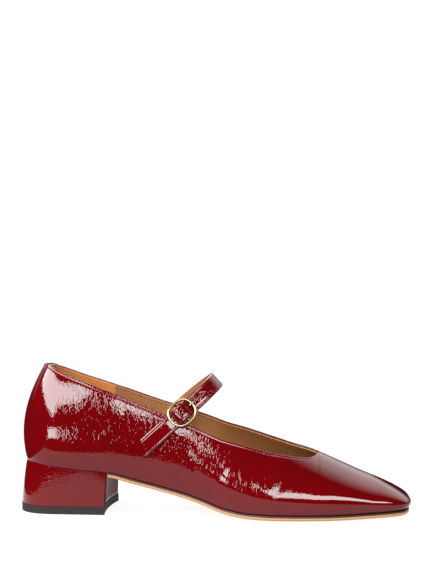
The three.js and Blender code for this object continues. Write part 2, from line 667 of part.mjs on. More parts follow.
function buckleFrameGeometry() {
  const steps = 32;
  const bend = (value) => Math.sign(value) * Math.abs(value) ** (2 / BUCKLE_SQUARENESS);
  const oval = Array.from({ length: steps }, (_, i) => {
    const turn = (2 * Math.PI * (i + 0.5)) / steps;
    return [WIRE_UP * bend(Math.cos(turn)), 0, WIRE_ACROSS * bend(Math.sin(turn))];
  });
  const straight = CHAPE_WIDTH / 2 + GAP;
  const bar = smoothPath(
    [
      [0, 0, -WIRE_ACROSS],
      [0, -BAR_DROP, -straight],
      [0, -BAR_DROP, 0],
      [0, -BAR_DROP, straight],
      [0, 0, WIRE_ACROSS],
    ],
    20,
  );
  const frame = toManifold(wireGeometry(oval, BUCKLE_WIRE / 2, true));
  return fromManifold(frame.add(toManifold(wireGeometry(bar, BAR_DIAMETER / 2, false))));
}

// The prong: an eye round the bar, then a shank up through the strap's hole and over the frame.
const PRONG_HOLE_AT = 0.64 * WIRE_UP;
function shankPath() {
  const over = (BUCKLE_WIRE + PRONG_DIAMETER) / 2 + FLAT_GAP;
  return smoothPath(
    [
      [EYE, -BAR_DROP, 0],
      [0.39 * WIRE_UP, -1.2 * BAR_DROP, 0],
      [0.55 * WIRE_UP, -BAR_DROP, 0],
      [PRONG_HOLE_AT + GAP, -0.45 * BAR_DROP, 0],
      [0.8 * WIRE_UP, 0.6 * over, 0],
      [WIRE_UP, over, 0],
      [WIRE_UP + 0.8 * BUCKLE_WIRE, 0.85 * over, 0],
    ],
    22,
  );
}

function prongGeometry() {
  const steps = 16;
  const eye = Array.from({ length: steps }, (_, i) => {
    const turn = (2 * Math.PI * i) / steps;
    return [EYE * Math.cos(turn), EYE * Math.sin(turn) - BAR_DROP, 0];
  });
  const ring = toManifold(wireGeometry(eye, PRONG_DIAMETER / 2, true));
  return fromManifold(ring.add(toManifold(wireGeometry(shankPath(), PRONG_DIAMETER / 2, false))));
}

// A solid pin, to add to a piece or cut a hole in it.
function pin(middle, direction, radius, length) {
  const geometry = new THREE.CylinderGeometry(radius, radius, length, 14);
  const lengthwise = new THREE.Vector3(0, 1, 0);
  geometry.applyQuaternion(new THREE.Quaternion().setFromUnitVectors(lengthwise, direction));
  geometry.translate(middle.x, middle.y, middle.z);
  const { position } = geometry.attributes;
  const points = [];
  for (let i = 0; i < position.count; i += 1)
    points.push(new THREE.Vector3().fromBufferAttribute(position, i));
  const faces = [];
  for (let i = 0; i < geometry.index.count; i += 3)
    faces.push([0, 1, 2].map((k) => geometry.index.getX(i + k)));
  return toManifold(bodyFrom(points, faces));
}

function strapGeometry() {
  let strap = toManifold(bandGeometry(strapRows(), STRAP_THICKNESS));
  strap = strap.subtract(toManifold(wireGeometry(shankPath(), PRONG_DIAMETER / 2 + GAP, false)));
  const foreshortening = 0.95; // the strap climbs over the bar between its holes
  for (let i = 1; i < HOLES; i += 1) {
    const up = PRONG_HOLE_AT - HOLE_PITCH * foreshortening * i;
    const middle = atBuckle(up, humpAt(up) - STRAP_DROP, 0);
    strap = strap.subtract(pin(middle, BUCKLE.out, HOLE_DIAMETER / 2, STRAP_THICKNESS * 2));
  }
  return fromManifold(strap);
}

// The chape: round the bar in front, and down inside the quarter behind, with a slot for the prong.
function chapeGeometry() {
  const thickness = 2 * CHAPE_LEATHER;
  const depth = -(WALL + GAP + thickness / 2);
  const bore = BAR_DIAMETER / 2 + GAP;
  const half = CHAPE_WIDTH / 2;
  const shares = [-1, -0.33, 0.33, 1];
  const clear = 0.6 * half; // the topline crosses the chape at a slant
  const rows = [];
  const tuckSteps = 7;
  for (let i = 0; i <= tuckSteps; i += 1) {
    const up = -CHAPE_TUCK + ((CHAPE_TUCK + clear) * i) / tuckSteps;
    rows.push(shares.map((share) => onQuarter(OUTER_CROSSING, OUT, up, share * half, depth).point));
  }
  const bar = atBuckle(0, -BAR_DROP, 0);
  const brink = rows[tuckSteps];
  const wayIn = brink[1].clone().add(brink[2]).divideScalar(2).sub(bar);
  wayIn.addScaledVector(BUCKLE.across, -wayIn.dot(BUCKLE.across)).normalize();
  const end = bar.clone().addScaledVector(wayIn, bore + CHAPE_LEATHER / 2);
  const brim = shares.map((share) => end.clone().addScaledVector(BUCKLE.across, share * half));
  for (const way of [0.5, 1]) rows.push(brink.map((point, j) => point.clone().lerp(brim[j], way)));
  const leg = toManifold(bandGeometry(rows, thickness));
  const loop = pin(bar, BUCKLE.across, bore + CHAPE_LEATHER, CHAPE_WIDTH - 2 * FLAT_GAP).add(leg);
  const slot = pin(bar, BUCKLE.across, EYE + PRONG_DIAMETER / 2 + GAP, PRONG_DIAMETER + 2 * GAP);
  return fromManifold(loop.subtract(pin(bar, BUCKLE.across, bore, 2 * CHAPE_WIDTH)).subtract(slot));
}

const PATENT = { color: "#7c0a12", roughness: 0.12, metalness: 0 };
const SOCK_LEATHER = { color: "#b0763e", roughness: 0.6, metalness: 0 };
const SOLE_LEATHER = { color: "#40302a", roughness: 0.55, metalness: 0 };
const RUBBER = { color: "#3e3431", roughness: 0.75, metalness: 0 };
const PALE_GOLD = { color: "#cdbf95", roughness: 0.22, metalness: 1 };

function piece(name, geometry, finish) {
  const mesh = new THREE.Mesh(geometry, new THREE.MeshStandardMaterial(finish));
  mesh.name = name;
  return mesh;
}

const shoe = new THREE.Group();
shoe.add(piece("upper", upperGeometry(), PATENT));
shoe.add(piece("outsole", outsoleGeometry(), SOLE_LEATHER));
shoe.add(piece("heel_block", heelBlockGeometry(), PATENT));
shoe.add(piece("heel_top_piece", topPieceGeometry(), RUBBER));
shoe.add(piece("insole", insoleGeometry(), SOCK_LEATHER));
shoe.add(piece("strap", strapGeometry(), PATENT));
shoe.add(piece("buckle_frame", buckleFrameGeometry(), PALE_GOLD));
shoe.add(piece("buckle_prong", prongGeometry(), PALE_GOLD));
shoe.add(piece("buckle_chape", chapeGeometry(), PATENT));

// The shoe's origin is on the floor, under the middle of its box.
const box = new THREE.Box3().setFromObject(shoe);
const middle = box.getCenter(new THREE.Vector3());
shoe.position.set(-middle.x, -middle.y, -box.min.z);

export default shoe;
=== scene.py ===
# A mary jane for the right foot: patent leather upper and strap, tan lining, thin leather sole,
# covered block heel with a rubber top piece, and a pale gold buckle. Metres, +X to the toe, +Y to
# the inner side of the foot, +Z up.
import math

import bmesh
import bpy
import numpy as np
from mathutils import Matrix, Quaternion, Vector


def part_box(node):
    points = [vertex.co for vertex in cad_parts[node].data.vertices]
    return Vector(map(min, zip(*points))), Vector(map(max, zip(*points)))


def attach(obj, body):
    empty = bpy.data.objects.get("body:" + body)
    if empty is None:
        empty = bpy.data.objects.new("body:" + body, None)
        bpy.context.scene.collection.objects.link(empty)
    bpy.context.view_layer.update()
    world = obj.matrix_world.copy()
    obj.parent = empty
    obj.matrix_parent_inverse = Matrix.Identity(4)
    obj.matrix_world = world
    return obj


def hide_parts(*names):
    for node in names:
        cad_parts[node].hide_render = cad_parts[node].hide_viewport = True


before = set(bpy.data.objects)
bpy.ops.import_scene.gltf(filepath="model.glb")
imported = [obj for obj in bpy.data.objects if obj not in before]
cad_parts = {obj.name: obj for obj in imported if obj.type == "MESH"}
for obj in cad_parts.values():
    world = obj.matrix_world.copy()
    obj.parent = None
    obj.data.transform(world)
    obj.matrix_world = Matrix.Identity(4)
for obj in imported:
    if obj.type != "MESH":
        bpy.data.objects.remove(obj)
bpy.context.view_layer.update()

# The camera stands on the outer side of the shoe, a little towards the toe and just above it. It
# looks level through a long lens, so the shoe lies in the lower half of the picture.
CAMERA_PLACE = (0.0731, -0.787, 0.1457)
CAMERA_TURN = 5.198
CAMERA_TILT = 0.379
CAMERA_LENS = 77.1


def in_scene(data):
    """A new object in the scene, with the name of its data."""
    thing = bpy.data.objects.new(data.name, data)
    bpy.context.scene.collection.objects.link(thing)
    return thing


camera = in_scene(bpy.data.cameras.new("camera"))
camera.data.lens = CAMERA_LENS
camera.location = CAMERA_PLACE
camera.rotation_euler = (math.radians(90 - CAMERA_TILT), 0, math.radians(CAMERA_TURN))
bpy.context.scene.camera = camera

# The upper: one piece of patent leather, lasted over the foot form, folded in at the topline and
# closed at the back with a seam. Its film of lacquer gives clear reflections that a fine crinkle
# breaks up, most of all at the quarters. "at" is a share of the length, and the other columns are
# shares of the heel's height (rise), of half the ball width and of the last's height.
MM = 0.001
OUT, IN = -1, 1
LAST_LENGTH = 242.5 * MM
BALL_WIDTH = 75 * MM
LAST_HEIGHT = 61.5 * MM
HEEL_HEIGHT = 32.5 * MM
HEEL_ROUND = 24 * MM
HEEL_SQUARENESS = 2.3
TOE_ROUND = 23 * MM
TOE_SQUARENESS = 4.2
THROAT_FROM_TOE = 55 * MM
GAP = 0.3 * MM
SOLE_THICKNESS = 2.9 * MM
SOLE_CROWN = 0.55 * MM
PATENT = 1.1 * MM
WALL = 2.0 * MM
FOLD_ROUND = 0.55 * MM
SEAM_FROM_EDGE = 2.0 * MM
SEAM_DEPTH = 0.16 * MM
SEAM_WIDTH = 0.35 * MM
AVERAGE_STEP, AVERAGE_FADE = 0.009, 0.05


def table(columns, rows):
    return dict(zip(columns.split(), np.array(rows, float).T))


SECTIONS = table("at rise centre width swell_out swell_in swell_at crest crest_in wall crown", [
    [0.0, 1.0, 0.0, 0.69, 0.056, 0.056, 0.29, 1.17, 0.0, 0.5, 0.2],
    [0.04, 0.976, 0.0, 0.695, 0.064, 0.064, 0.29, 1.28, 0.0, 0.56, 0.33],
    [0.085, 0.918, 0.0, 0.7, 0.07, 0.07, 0.29, 1.36, 0.0, 0.6, 0.45],
    [0.157, 0.849, -0.004, 0.702, 0.08, 0.08, 0.3, 1.37, 0.0, 0.64, 0.5],
    [0.24, 0.788, -0.01, 0.68, 0.1, 0.11, 0.33, 1.27, 0.02, 0.74, 0.55],
    [0.29, 0.671, -0.027, 0.64, 0.115, 0.14, 0.36, 1.2, 0.03, 0.8, 0.58],
    [0.353, 0.538, -0.05, 0.61, 0.125, 0.175, 0.39, 1.12, 0.045, 0.82, 0.6],
    [0.414, 0.411, -0.08, 0.613, 0.12, 0.19, 0.38, 1.06, 0.06, 0.78, 0.6],
    [0.476, 0.255, -0.084, 0.684, 0.1, 0.175, 0.33, 1.0, 0.075, 0.68, 0.56],
    [0.538, 0.08, -0.075, 0.8, 0.085, 0.135, 0.25, 0.94, 0.09, 0.58, 0.5],
    [0.6, 0.01, -0.059, 0.912, 0.075, 0.095, 0.19, 0.86, 0.105, 0.5, 0.45],
    [0.66, 0.0, -0.045, 0.987, 0.068, 0.075, 0.155, 0.757, 0.115, 0.43, 0.41],
    [0.71, 0.0, -0.027, 1.0, 0.062, 0.066, 0.14, 0.66, 0.12, 0.4, 0.39],
    [0.776, 0.0, 0.0, 0.973, 0.06, 0.06, 0.125, 0.54, 0.12, 0.39, 0.4],
    [0.827, 0.0, 0.007, 0.895, 0.06, 0.06, 0.115, 0.452, 0.115, 0.38, 0.43],
    [0.88, 0.008, 0.015, 0.79, 0.06, 0.06, 0.1, 0.357, 0.11, 0.36, 0.46],
    [0.93, 0.02, 0.03, 0.7, 0.062, 0.062, 0.08, 0.273, 0.1, 0.32, 0.48],
    [1.0, 0.04, 0.05, 0.575, 0.064, 0.064, 0.06, 0.14, 0.09, 0.2, 0.52],
])
# The topline on the outer and inner side, as a share of the height from the feather edge to the crest.
TOPLINE = table("at out in", [
    [0.05, 0.773, 0.766],
    [0.07, 0.755, 0.718],
    [0.1, 0.715, 0.687],
    [0.125, 0.691, 0.667],
    [0.153, 0.668, 0.647],
    [0.187, 0.65, 0.633],
    [0.222, 0.643, 0.631],
    [0.256, 0.647, 0.64],
    [0.29, 0.66, 0.661],
    [0.36, 0.678, 0.696],
    [0.44, 0.683, 0.738],
    [0.51, 0.705, 0.786],
    [0.58, 0.737, 0.839],
    [0.64, 0.752, 0.861],
    [0.695, 0.805, 0.9],
    [0.745, 0.88, 0.966],
    [1 - THROAT_FROM_TOE / LAST_LENGTH, 1.0, 1.0],
])
# Soft troughs where the leather has given. "up" is a share of the wall's height, "turn" is degrees
# from upright, and length, width and depth are in millimetres.
CREASES = table("side at up turn length width depth", [
    [OUT, 0.20, 0.50, 8, 26, 5.0, 0.22],
    [OUT, 0.29, 0.62, -14, 24, 4.5, 0.25],
    [OUT, 0.37, 0.38, 18, 22, 4.0, 0.22],
    [OUT, 0.45, 0.50, -20, 26, 4.5, 0.30],
    [OUT, 0.52, 0.40, 26, 22, 4.0, 0.26],
    [OUT, 0.60, 0.55, -32, 20, 4.0, 0.22],
    [OUT, 0.68, 0.50, 40, 18, 4.0, 0.16],
    [IN, 0.22, 0.52, -8, 26, 5.0, 0.22],
    [IN, 0.33, 0.60, 14, 24, 4.5, 0.24],
    [IN, 0.43, 0.42, -20, 26, 4.5, 0.28],
    [IN, 0.53, 0.50, 28, 22, 4.0, 0.26],
    [IN, 0.63, 0.50, -36, 20, 4.0, 0.20],
])
# How strong the crinkle is along the shoe, as a share.
CRINKLE = table("at strength", [
    [0.0, 0.2],
    [0.1, 0.2],
    [0.18, 0.4],
    [0.25, 0.6],
    [0.33, 0.8],
    [0.42, 0.85],
    [0.47, 0.7],
    [0.52, 0.3],
    [0.6, 0.3],
    [0.65, 0.5],
    [0.7, 0.35],
    [0.78, 0.1],
    [1.0, 0.05],
])

HALF_BALL = BALL_WIDTH / 2
TOE_HUB = LAST_LENGTH - TOE_ROUND
THROAT = LAST_LENGTH - THROAT_FROM_TOE
FOREPART = SOLE_CROWN + SOLE_THICKNESS + GAP

# The heel's foot stands out behind the last, and its middle is the last's middle line.
HEEL_FLARE = 3.0 * MM
TOP_PIECE_LIP = 0.25 * MM
foot_low, foot_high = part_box("heel_top_piece")
LAST_PLACE = np.array([
    foot_low.x + HEEL_FLARE + TOP_PIECE_LIP,
    (foot_low.y + foot_high.y) / 2,
    0,
])


def along(rows, column, at):
    """A smooth curve through one column of a table, which never swings past its rows."""
    places, values = rows["at"], rows[column]
    secant = np.diff(values) / np.diff(places)
    product = secant[:-1] * secant[1:]
    total = np.where(product > 0, secant[:-1] + secant[1:], 1)
    slope = np.concatenate([secant[:1], np.where(product > 0, 2 * product / total, 0), secant[-1:]])
    row = np.clip(np.searchsorted(places, at, side="right") - 1, 0, len(places) - 2)
    span = np.diff(places)[row]
    t = np.clip((at - places[row]) / span, 0, 1)
    step = values[row + 1] - values[row]
    leave, arrive = slope[row] * span, slope[row + 1] * span
    cubic = leave + arrive - 2 * step
    return values[row] + t * (leave + t * (step - leave - cubic + t * cubic))


def last(column, x):
    """One column of the sections at x, averaged over a few millimetres so that gloss shows no joint."""
    steps = (-2, -1, 0, 1, 2)
    weights = (0.1, 0.23, 0.34, 0.23, 0.1)
    from_end = np.minimum(x, LAST_LENGTH - x)
    reach = AVERAGE_STEP * np.minimum(1, from_end / (AVERAGE_FADE * LAST_LENGTH))
    at = x / LAST_LENGTH
    return sum(w * along(SECTIONS, column, at + reach * k) for k, w in zip(steps, weights))


def feather(x):
    """Height of the edge where the upper meets the sole."""
    return FOREPART + last("rise", x) * (HEEL_HEIGHT - FOREPART)


def feather_under(x):
    """The same height, for places that may stand out past the last's ends."""
    return feather(np.clip(x, 0, LAST_LENGTH))


def crest_height(x):
    return LAST_HEIGHT * last("crest", x)


def topline_height(x, side):
    at = x / LAST_LENGTH
    share = np.where(side == OUT, along(TOPLINE, "out", at), along(TOPLINE, "in", at))
    return feather(x) + crest_height(x) * share


def round_end(share, power):
    return (1 - np.clip(share, 0, 1) ** power) ** (1 / power)


def columns_at(x, side):
    """Places on the feather edge, and the hubs that the sections there lean towards."""
    back = round_end((HEEL_ROUND - x) / HEEL_ROUND, HEEL_SQUARENESS)
    front = round_end((x - TOE_HUB) / TOE_ROUND, TOE_SQUARENESS)
    y = HALF_BALL * (last("centre", x) + side * last("width", x) * back * front)
    hub_x = np.clip(x, HEEL_ROUND, TOE_HUB)
    hub_y = HALF_BALL * last("crest_in", hub_x)
    reach = np.hypot(x - hub_x, y - hub_y)
    return {
        "x": x, "side": side, "y": y, "hub_x": hub_x, "hub_y": hub_y, "reach": reach,
        "out_x": (x - hub_x) / reach, "out_y": (y - hub_y) / reach,
    }


TOE_SLOPE = float(
    (crest_height(np.array(TOE_HUB - TOE_ROUND / 2)) - crest_height(np.array(TOE_HUB))) / (TOE_ROUND / 2)
)


def on_section(column, s):
    """Points on the last's face: s is 0 at the feather edge, 1 at the swell and 2 at the crest."""
    x, reach, out_x = column["x"], column["reach"], column["out_x"]
    swell = HALF_BALL * np.where(column["side"] == OUT, last("swell_out", x), last("swell_in", x))
    swell_height = LAST_HEIGHT * last("swell_at", x)
    full = reach + swell
    on_toe = x > TOE_HUB
    toe_crest = crest_height(np.array(TOE_HUB)) + feather(np.array(TOE_HUB)) - feather(x)
    crest = np.where(on_toe, toe_crest, crest_height(x))
    crown = last("crown", x) * full
    fall = np.where(on_toe, TOE_SLOPE * crown * out_x, 0)
    wall_top = swell_height + last("wall", x) * (crest - swell_height)
    t = np.clip(s - 1, 0, 1)
    a, b, c, d = (1 - t) ** 3, 3 * t * (1 - t) ** 2, 3 * t * t * (1 - t), t**3
    low = np.clip(s, 0, 1)
    below = s <= 1
    away = np.where(below, reach + swell * low * (2 - low), (a + b) * full + c * crown)
    height = np.where(
        below,
        swell_height * low * (0.9 + 0.1 * low),
        a * swell_height + b * wall_top + c * (crest - fall) + d * crest,
    )
    place = [column["hub_x"] + out_x * away, column["hub_y"] + column["out_y"] * away, feather(x) + height]
    return np.stack(np.broadcast_arrays(*place), -1)


HALVINGS = 36


def turning_point(test, low, high):
    """Where a rising test turns positive, for a whole array of places at once."""
    for _ in range(HALVINGS):
        middle = (low + high) / 2
        under = test(middle) < 0
        low, high = np.where(under, middle, low), np.where(under, high, middle)
    return (low + high) / 2


def smoothstep(value, low, high):
    t = np.clip((value - low) / (high - low), 0, 1)
    return t * t * (3 - 2 * t)


END_STEPS, SIDE_STEPS, VAMP_STEPS = 30, 96, 20


def stations():
    """Places along the plan, closer together round the heel and the toe."""
    turn = np.linspace(0, math.pi / 2, END_STEPS)
    heel = HEEL_ROUND * (1 - np.cos(turn[:-1]) ** (2 / HEEL_SQUARENESS))
    toe = TOE_HUB + TOE_ROUND * np.sin(turn) ** (2 / TOE_SQUARENESS)
    side = np.linspace(HEEL_ROUND, THROAT, SIDE_STEPS)
    vamp = np.linspace(THROAT, TOE_HUB, VAMP_STEPS)
    return np.concatenate([heel, side[:-1], vamp[:-1], toe])


STATIONS = stations()
ring_x = np.concatenate([STATIONS, STATIONS[1:-1][::-1]])
ring_side = np.concatenate([np.full(len(STATIONS), OUT), np.full(len(STATIONS) - 2, IN)])
ring = columns_at(ring_x, ring_side)


def over_topline(s):
    points = on_section(ring, s)
    return points[:, 2] - topline_height(points[:, 0], ring_side)


ring_top = np.where(
    ring_x < THROAT - 1e-9,
    turning_point(over_topline, np.ones_like(ring_x), np.full_like(ring_x, 2.0)),
    2.0,
)
# 1 along the opening, falling to 0 at the throat, where the fold runs out.
openness = smoothstep(THROAT - ring_x, 0, 3 * MM)


def weld_ids(points):
    keys = np.round(points.reshape(-1, 3) / (0.005 * MM)).astype(np.int64)
    _, ids = np.unique(keys, axis=0, return_inverse=True)
    return ids.reshape(points.shape[:2])


def grid_normals(grid, closed):
    """Normals of a grid of points. Points that coincide, as at a pole, share one."""
    ids = weld_ids(grid)
    following = np.roll(grid, -1, 0) if closed else grid[1:]
    following_ids = np.roll(ids, -1, 0) if closed else ids[1:]
    here, here_ids = (grid, ids) if closed else (grid[:-1], ids[:-1])
    corners = [here[:, :-1], following[:, :-1], following[:, 1:], here[:, 1:]]
    corner_ids = [here_ids[:, :-1], following_ids[:, :-1], following_ids[:, 1:], here_ids[:, 1:]]
    facing = np.cross(corners[2] - corners[0], corners[3] - corners[1])
    total = np.zeros((ids.max() + 1, 3))
    for corner in corner_ids:
        np.add.at(total, corner.ravel(), facing.reshape(-1, 3))
    total /= np.maximum(np.linalg.norm(total, axis=1), 1e-12)[:, None]
    return total[ids]


def skin_normals(face):
    """Normals of a face of the upper, outwards."""
    normals = grid_normals(face, True)
    outwards = normals[..., 0] * ring["out_x"][:, None] + normals[..., 1] * ring["out_y"][:, None]
    return normals * np.sign(outwards.sum())


def level_foot(normals):
    """The same normals, level along the feather edge, so that the wall's foot stays flat."""
    flat = normals.copy()
    flat[:, 0, 2] = 0
    return flat / np.linalg.norm(flat, axis=2)[..., None]


def last_face(distances, far_rows):
    """The last's face in rows from the feather edge up to the topline or crest: the distances are
    those of the top rows from the edge, for each column, and the rest are spread below them."""
    fine = np.linspace(0, 1, 260)
    s = ring_top[:, None] * fine
    wide = {key: value[:, None] for key, value in ring.items()}
    points = on_section(wide, s)
    run = np.zeros(s.shape)
    run[:, 1:] = np.cumsum(np.linalg.norm(np.diff(points, axis=1), axis=2), axis=1)
    shares = np.concatenate([[0, 0.012, 0.028], np.linspace(0.05, 1, far_rows)[:-1]])
    rows = []
    for i in range(len(ring_x)):
        length = run[i, -1]
        top_rows = length - distances[i][::-1]
        rows.append(np.interp(np.concatenate([shares * top_rows[0], top_rows]), run[i], s[i]))
    return on_section(wide, np.array(rows))


def solid(name, points, faces, sharp=35.0):
    """A mesh object in the frame from the last's own coordinates: welded, facing outwards, smooth."""
    data = bpy.data.meshes.new(name)
    data.from_pydata((points.reshape(-1, 3) + LAST_PLACE).tolist(), [], faces)
    work = bmesh.new()
    work.from_mesh(data)
    bmesh.ops.remove_doubles(work, verts=work.verts, dist=0.004 * MM)
    bmesh.ops.dissolve_degenerate(work, edges=work.edges, dist=0.0005 * MM)
    if work.calc_volume(signed=True) < 0:
        bmesh.ops.reverse_faces(work, faces=work.faces)
    work.to_mesh(data)
    work.free()
    data.shade_smooth()
    data.set_sharp_from_angle(angle=math.radians(sharp))
    return in_scene(data)


def quads(ids, closed_rows=True, closed_columns=True):
    """The faces between a grid's points, which may close on itself either way."""
    if closed_rows:
        ids = np.concatenate([ids, ids[:1]])
    if closed_columns:
        ids = np.concatenate([ids, ids[:, :1]], axis=1)
    return np.stack([ids[:-1, :-1], ids[1:, :-1], ids[1:, 1:], ids[:-1, 1:]], -1)


def shell(name, front, back, edge, sharp=35.0):
    """A closed skin between two faces of the upper, with a rounded edge along the opening."""
    turns = np.linspace(0, math.pi, 7)[1:-1]
    middle, half = (front[:, -1] + back[:, -1]) / 2, (front[:, -1] - back[:, -1]) / 2
    up = front[:, -1] - front[:, -2]
    up /= np.linalg.norm(up, axis=1)[:, None]
    rim = np.stack([
        middle + half * math.cos(t) + up * (edge * openness * math.sin(t))[:, None] for t in turns
    ], axis=1)
    loops = np.concatenate([front, rim, back[:, ::-1]], axis=1)
    count, size = loops.shape[:2]
    ids = np.arange(count * size).reshape(count, size)
    keep = np.ones((count, size), bool)
    closed = np.minimum(ring_x, np.roll(ring_x, -1)) > THROAT - 1e-9
    keep[np.ix_(closed, range(front.shape[1] - 1, front.shape[1] + len(turns)))] = False
    return solid(name, loops, quads(ids)[keep].tolist(), sharp)


def crease_depth(points):
    """How deep the soft troughs are at points of the last's face."""
    x, z = points[..., 0], points[..., 2]
    side = np.where(points[..., 1] < HALF_BALL * last("crest_in", x), OUT, IN)
    depth = np.zeros(x.shape)
    for k in range(len(CREASES["at"])):
        at = np.array(CREASES["at"][k] * LAST_LENGTH)
        middle = feather(at) + CREASES["up"][k] * (topline_height(at, OUT) - feather(at))
        turn = math.radians(CREASES["turn"][k])
        across = (x - at) * math.cos(turn) - (z - middle) * math.sin(turn)
        up = (x - at) * math.sin(turn) + (z - middle) * math.cos(turn)
        length, width = CREASES["length"][k] * MM / 2, CREASES["width"][k] * MM / 2
        form = np.exp(-((across / width) ** 2) - (up / length) ** 2)
        depth += np.where(side == CREASES["side"][k], CREASES["depth"][k] * MM * form, 0)
    return depth


near_seam = SEAM_FROM_EDGE + SEAM_WIDTH * np.array([-1.6, -1.0, -0.5, 0, 0.5, 1.0, 1.6])
fold_rows = np.concatenate([[1.0 * MM], near_seam, [3.2 * MM, 4.2 * MM, 5.6 * MM]])
patent_rows = FOLD_ROUND * openness[:, None] + np.concatenate([[0], fold_rows - FOLD_ROUND])
last_skin = last_face(patent_rows, 40)
patent_normals = skin_normals(last_skin)
row_from_edge = np.zeros(last_skin.shape[:2]) + 1.0
row_from_edge[:, -patent_rows.shape[1]:] = patent_rows[:, ::-1]
seam = SEAM_DEPTH * np.exp(-(((row_from_edge - SEAM_FROM_EDGE) / SEAM_WIDTH) ** 2)) * openness[:, None]
sunk = seam + crease_depth(last_skin)
patent_front = last_skin - patent_normals * sunk[..., None]
upper = shell("upper_patent", patent_front, last_skin - level_foot(patent_normals) * PATENT, FOLD_ROUND)


def srgb(text):
    """A hex colour as the linear values that shaders take."""
    values = [int(text[i:i + 2], 16) / 255 for i in (1, 3, 5)]
    return [v / 12.92 if v <= 0.04045 else ((v + 0.055) / 1.055) ** 2.4 for v in values] + [1.0]


def node(tree, kind, inputs=None, **settings):
    """Adds a node with its settings, values and links. A node among the inputs gives its first output."""
    made = tree.nodes.new(kind)
    for name, value in settings.items():
        setattr(made, name, value)
    for name, value in (inputs or {}).items():
        if isinstance(value, bpy.types.Node):
            value = value.outputs[0]
        if isinstance(value, bpy.types.NodeSocket):
            tree.links.new(value, made.inputs[name])
        else:
            made.inputs[name].default_value = value
    return made


def new_finish(name):
    """An empty material with its shader: the tree, the shader and the place on the object."""
    material = bpy.data.materials.new(name)
    material.use_nodes = True
    tree = material.node_tree
    shader = tree.nodes["Principled BSDF"]
    place = tree.nodes.new("ShaderNodeTexCoord").outputs["Object"]
    return material, tree, shader, place


# The crinkle's creases lie about a pitch apart and wander, and low pillows of leather stand between
# them. The creases run upwards on the upper and lie level on the heel.
CRINKLE_PITCH = 1.5 * MM
WAVES_TO_CREASES = 0.62
CRINKLE_WANDER = 2.5 * MM
CREASE_DEPTH = 0.05 * MM
CREASE_SHARE = 0.12
CRINKLE_AT_SOLE = 0.3
PILLOW_PITCH = 5 * MM
PILLOW_HEIGHT = 0.04 * MM
UPRIGHT = (1.1, 1.1, 0.45)
LEVEL = (0.3, 0.3, 1.5)
PATENT_RED = "#520205"
PATENT_DEEP = "#430103"


def patent_leather(name, stretch=UPRIGHT):
    """Crinkled patent leather: dyed hide under a thick clear lacquer. The lacquer's coat gives sharp
    reflections, and the crinkle is a net of fine wavy creases, drawn a little coarser than real."""
    material, tree, shader, place = new_finish(name)
    strength = node(tree, "ShaderNodeAttribute", attribute_name="crinkle").outputs["Fac"]
    drift = node(tree, "ShaderNodeTexNoise", {"Vector": place, "Scale": 1 / (5 * MM), "Detail": 1.0})
    centring = {0: drift.outputs["Color"], 1: (0.5, 0.5, 0.5)}
    centred = node(tree, "ShaderNodeVectorMath", centring, operation="SUBTRACT")
    pushing = {0: centred, 1: (CRINKLE_WANDER,) * 3, 2: place}
    pushed = node(tree, "ShaderNodeVectorMath", pushing, operation="MULTIPLY_ADD")
    laid = node(tree, "ShaderNodeMapping", {"Vector": pushed, "Scale": stretch})
    waves = node(
        tree, "ShaderNodeTexNoise",
        {"Vector": laid, "Scale": WAVES_TO_CREASES / CRINKLE_PITCH, "Detail": 1.0, "Distortion": 0.6},
    )
    level = node(tree, "ShaderNodeMath", {0: waves, 1: 0.5}, operation="SUBTRACT")
    away = node(tree, "ShaderNodeMath", {0: level}, operation="ABSOLUTE")
    sides = {"Value": away, "From Max": CREASE_SHARE}
    creases = node(tree, "ShaderNodeMapRange", sides, interpolation_type="SMOOTHSTEP")
    pillows = node(tree, "ShaderNodeTexNoise", {"Vector": place, "Scale": 1 / PILLOW_PITCH, "Detail": 1.0})
    both = {0: pillows, 1: PILLOW_HEIGHT / CREASE_DEPTH, 2: creases}
    joined = node(tree, "ShaderNodeMath", both, operation="MULTIPLY_ADD")
    height = node(tree, "ShaderNodeMath", {0: joined, 1: strength}, operation="MULTIPLY")
    bump = node(tree, "ShaderNodeBump", {"Height": height, "Strength": 1.0, "Distance": CREASE_DEPTH})
    tone = node(tree, "ShaderNodeTexNoise", {"Vector": place, "Scale": 1 / (22 * MM), "Detail": 3.0})
    reds = {"Factor": tone, "A": srgb(PATENT_DEEP), "B": srgb(PATENT_RED)}
    colour = node(tree, "ShaderNodeMix", reds, data_type="RGBA")
    tree.links.new(colour.outputs["Result"], shader.inputs["Base Color"])
    tree.links.new(bump.outputs[0], shader.inputs["Normal"])
    tree.links.new(bump.outputs[0], shader.inputs["Coat Normal"])
    shader.inputs["Roughness"].default_value = 0.4
    shader.inputs["IOR"].default_value = 1.45
    shader.inputs["Specular IOR Level"].default_value = 0.0
    shader.inputs["Coat Weight"].default_value = 1.0
    shader.inputs["Coat Roughness"].default_value = 0.03
    shader.inputs["Coat IOR"].default_value = 1.45
    return material


def mark(thing, name, values):
    """Keeps a value for each of a mesh's points, for its material."""
    thing.data.attributes.new(name, "FLOAT", "POINT").data.foreach_set("value", values.astype(np.float32))


def own_places(thing):
    """A mesh's points in the last's own coordinates."""
    flat = np.empty(len(thing.data.vertices) * 3)
    thing.data.vertices.foreach_get("co", flat)
    return flat.reshape(-1, 3) - LAST_PLACE


places = own_places(upper)
above_sole = places[:, 2] - feather_under(places[:, 0])
crinkle = along(CRINKLE, "strength", np.clip(places[:, 0] / LAST_LENGTH, 0, 1))
crinkle *= CRINKLE_AT_SOLE + (1 - CRINKLE_AT_SOLE) * smoothstep(above_sole, 5 * MM, 15 * MM)
mark(upper, "crinkle", crinkle)
upper.data.materials.append(patent_leather("crinkled_patent_leather"))
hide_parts("upper")
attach(upper, "root")

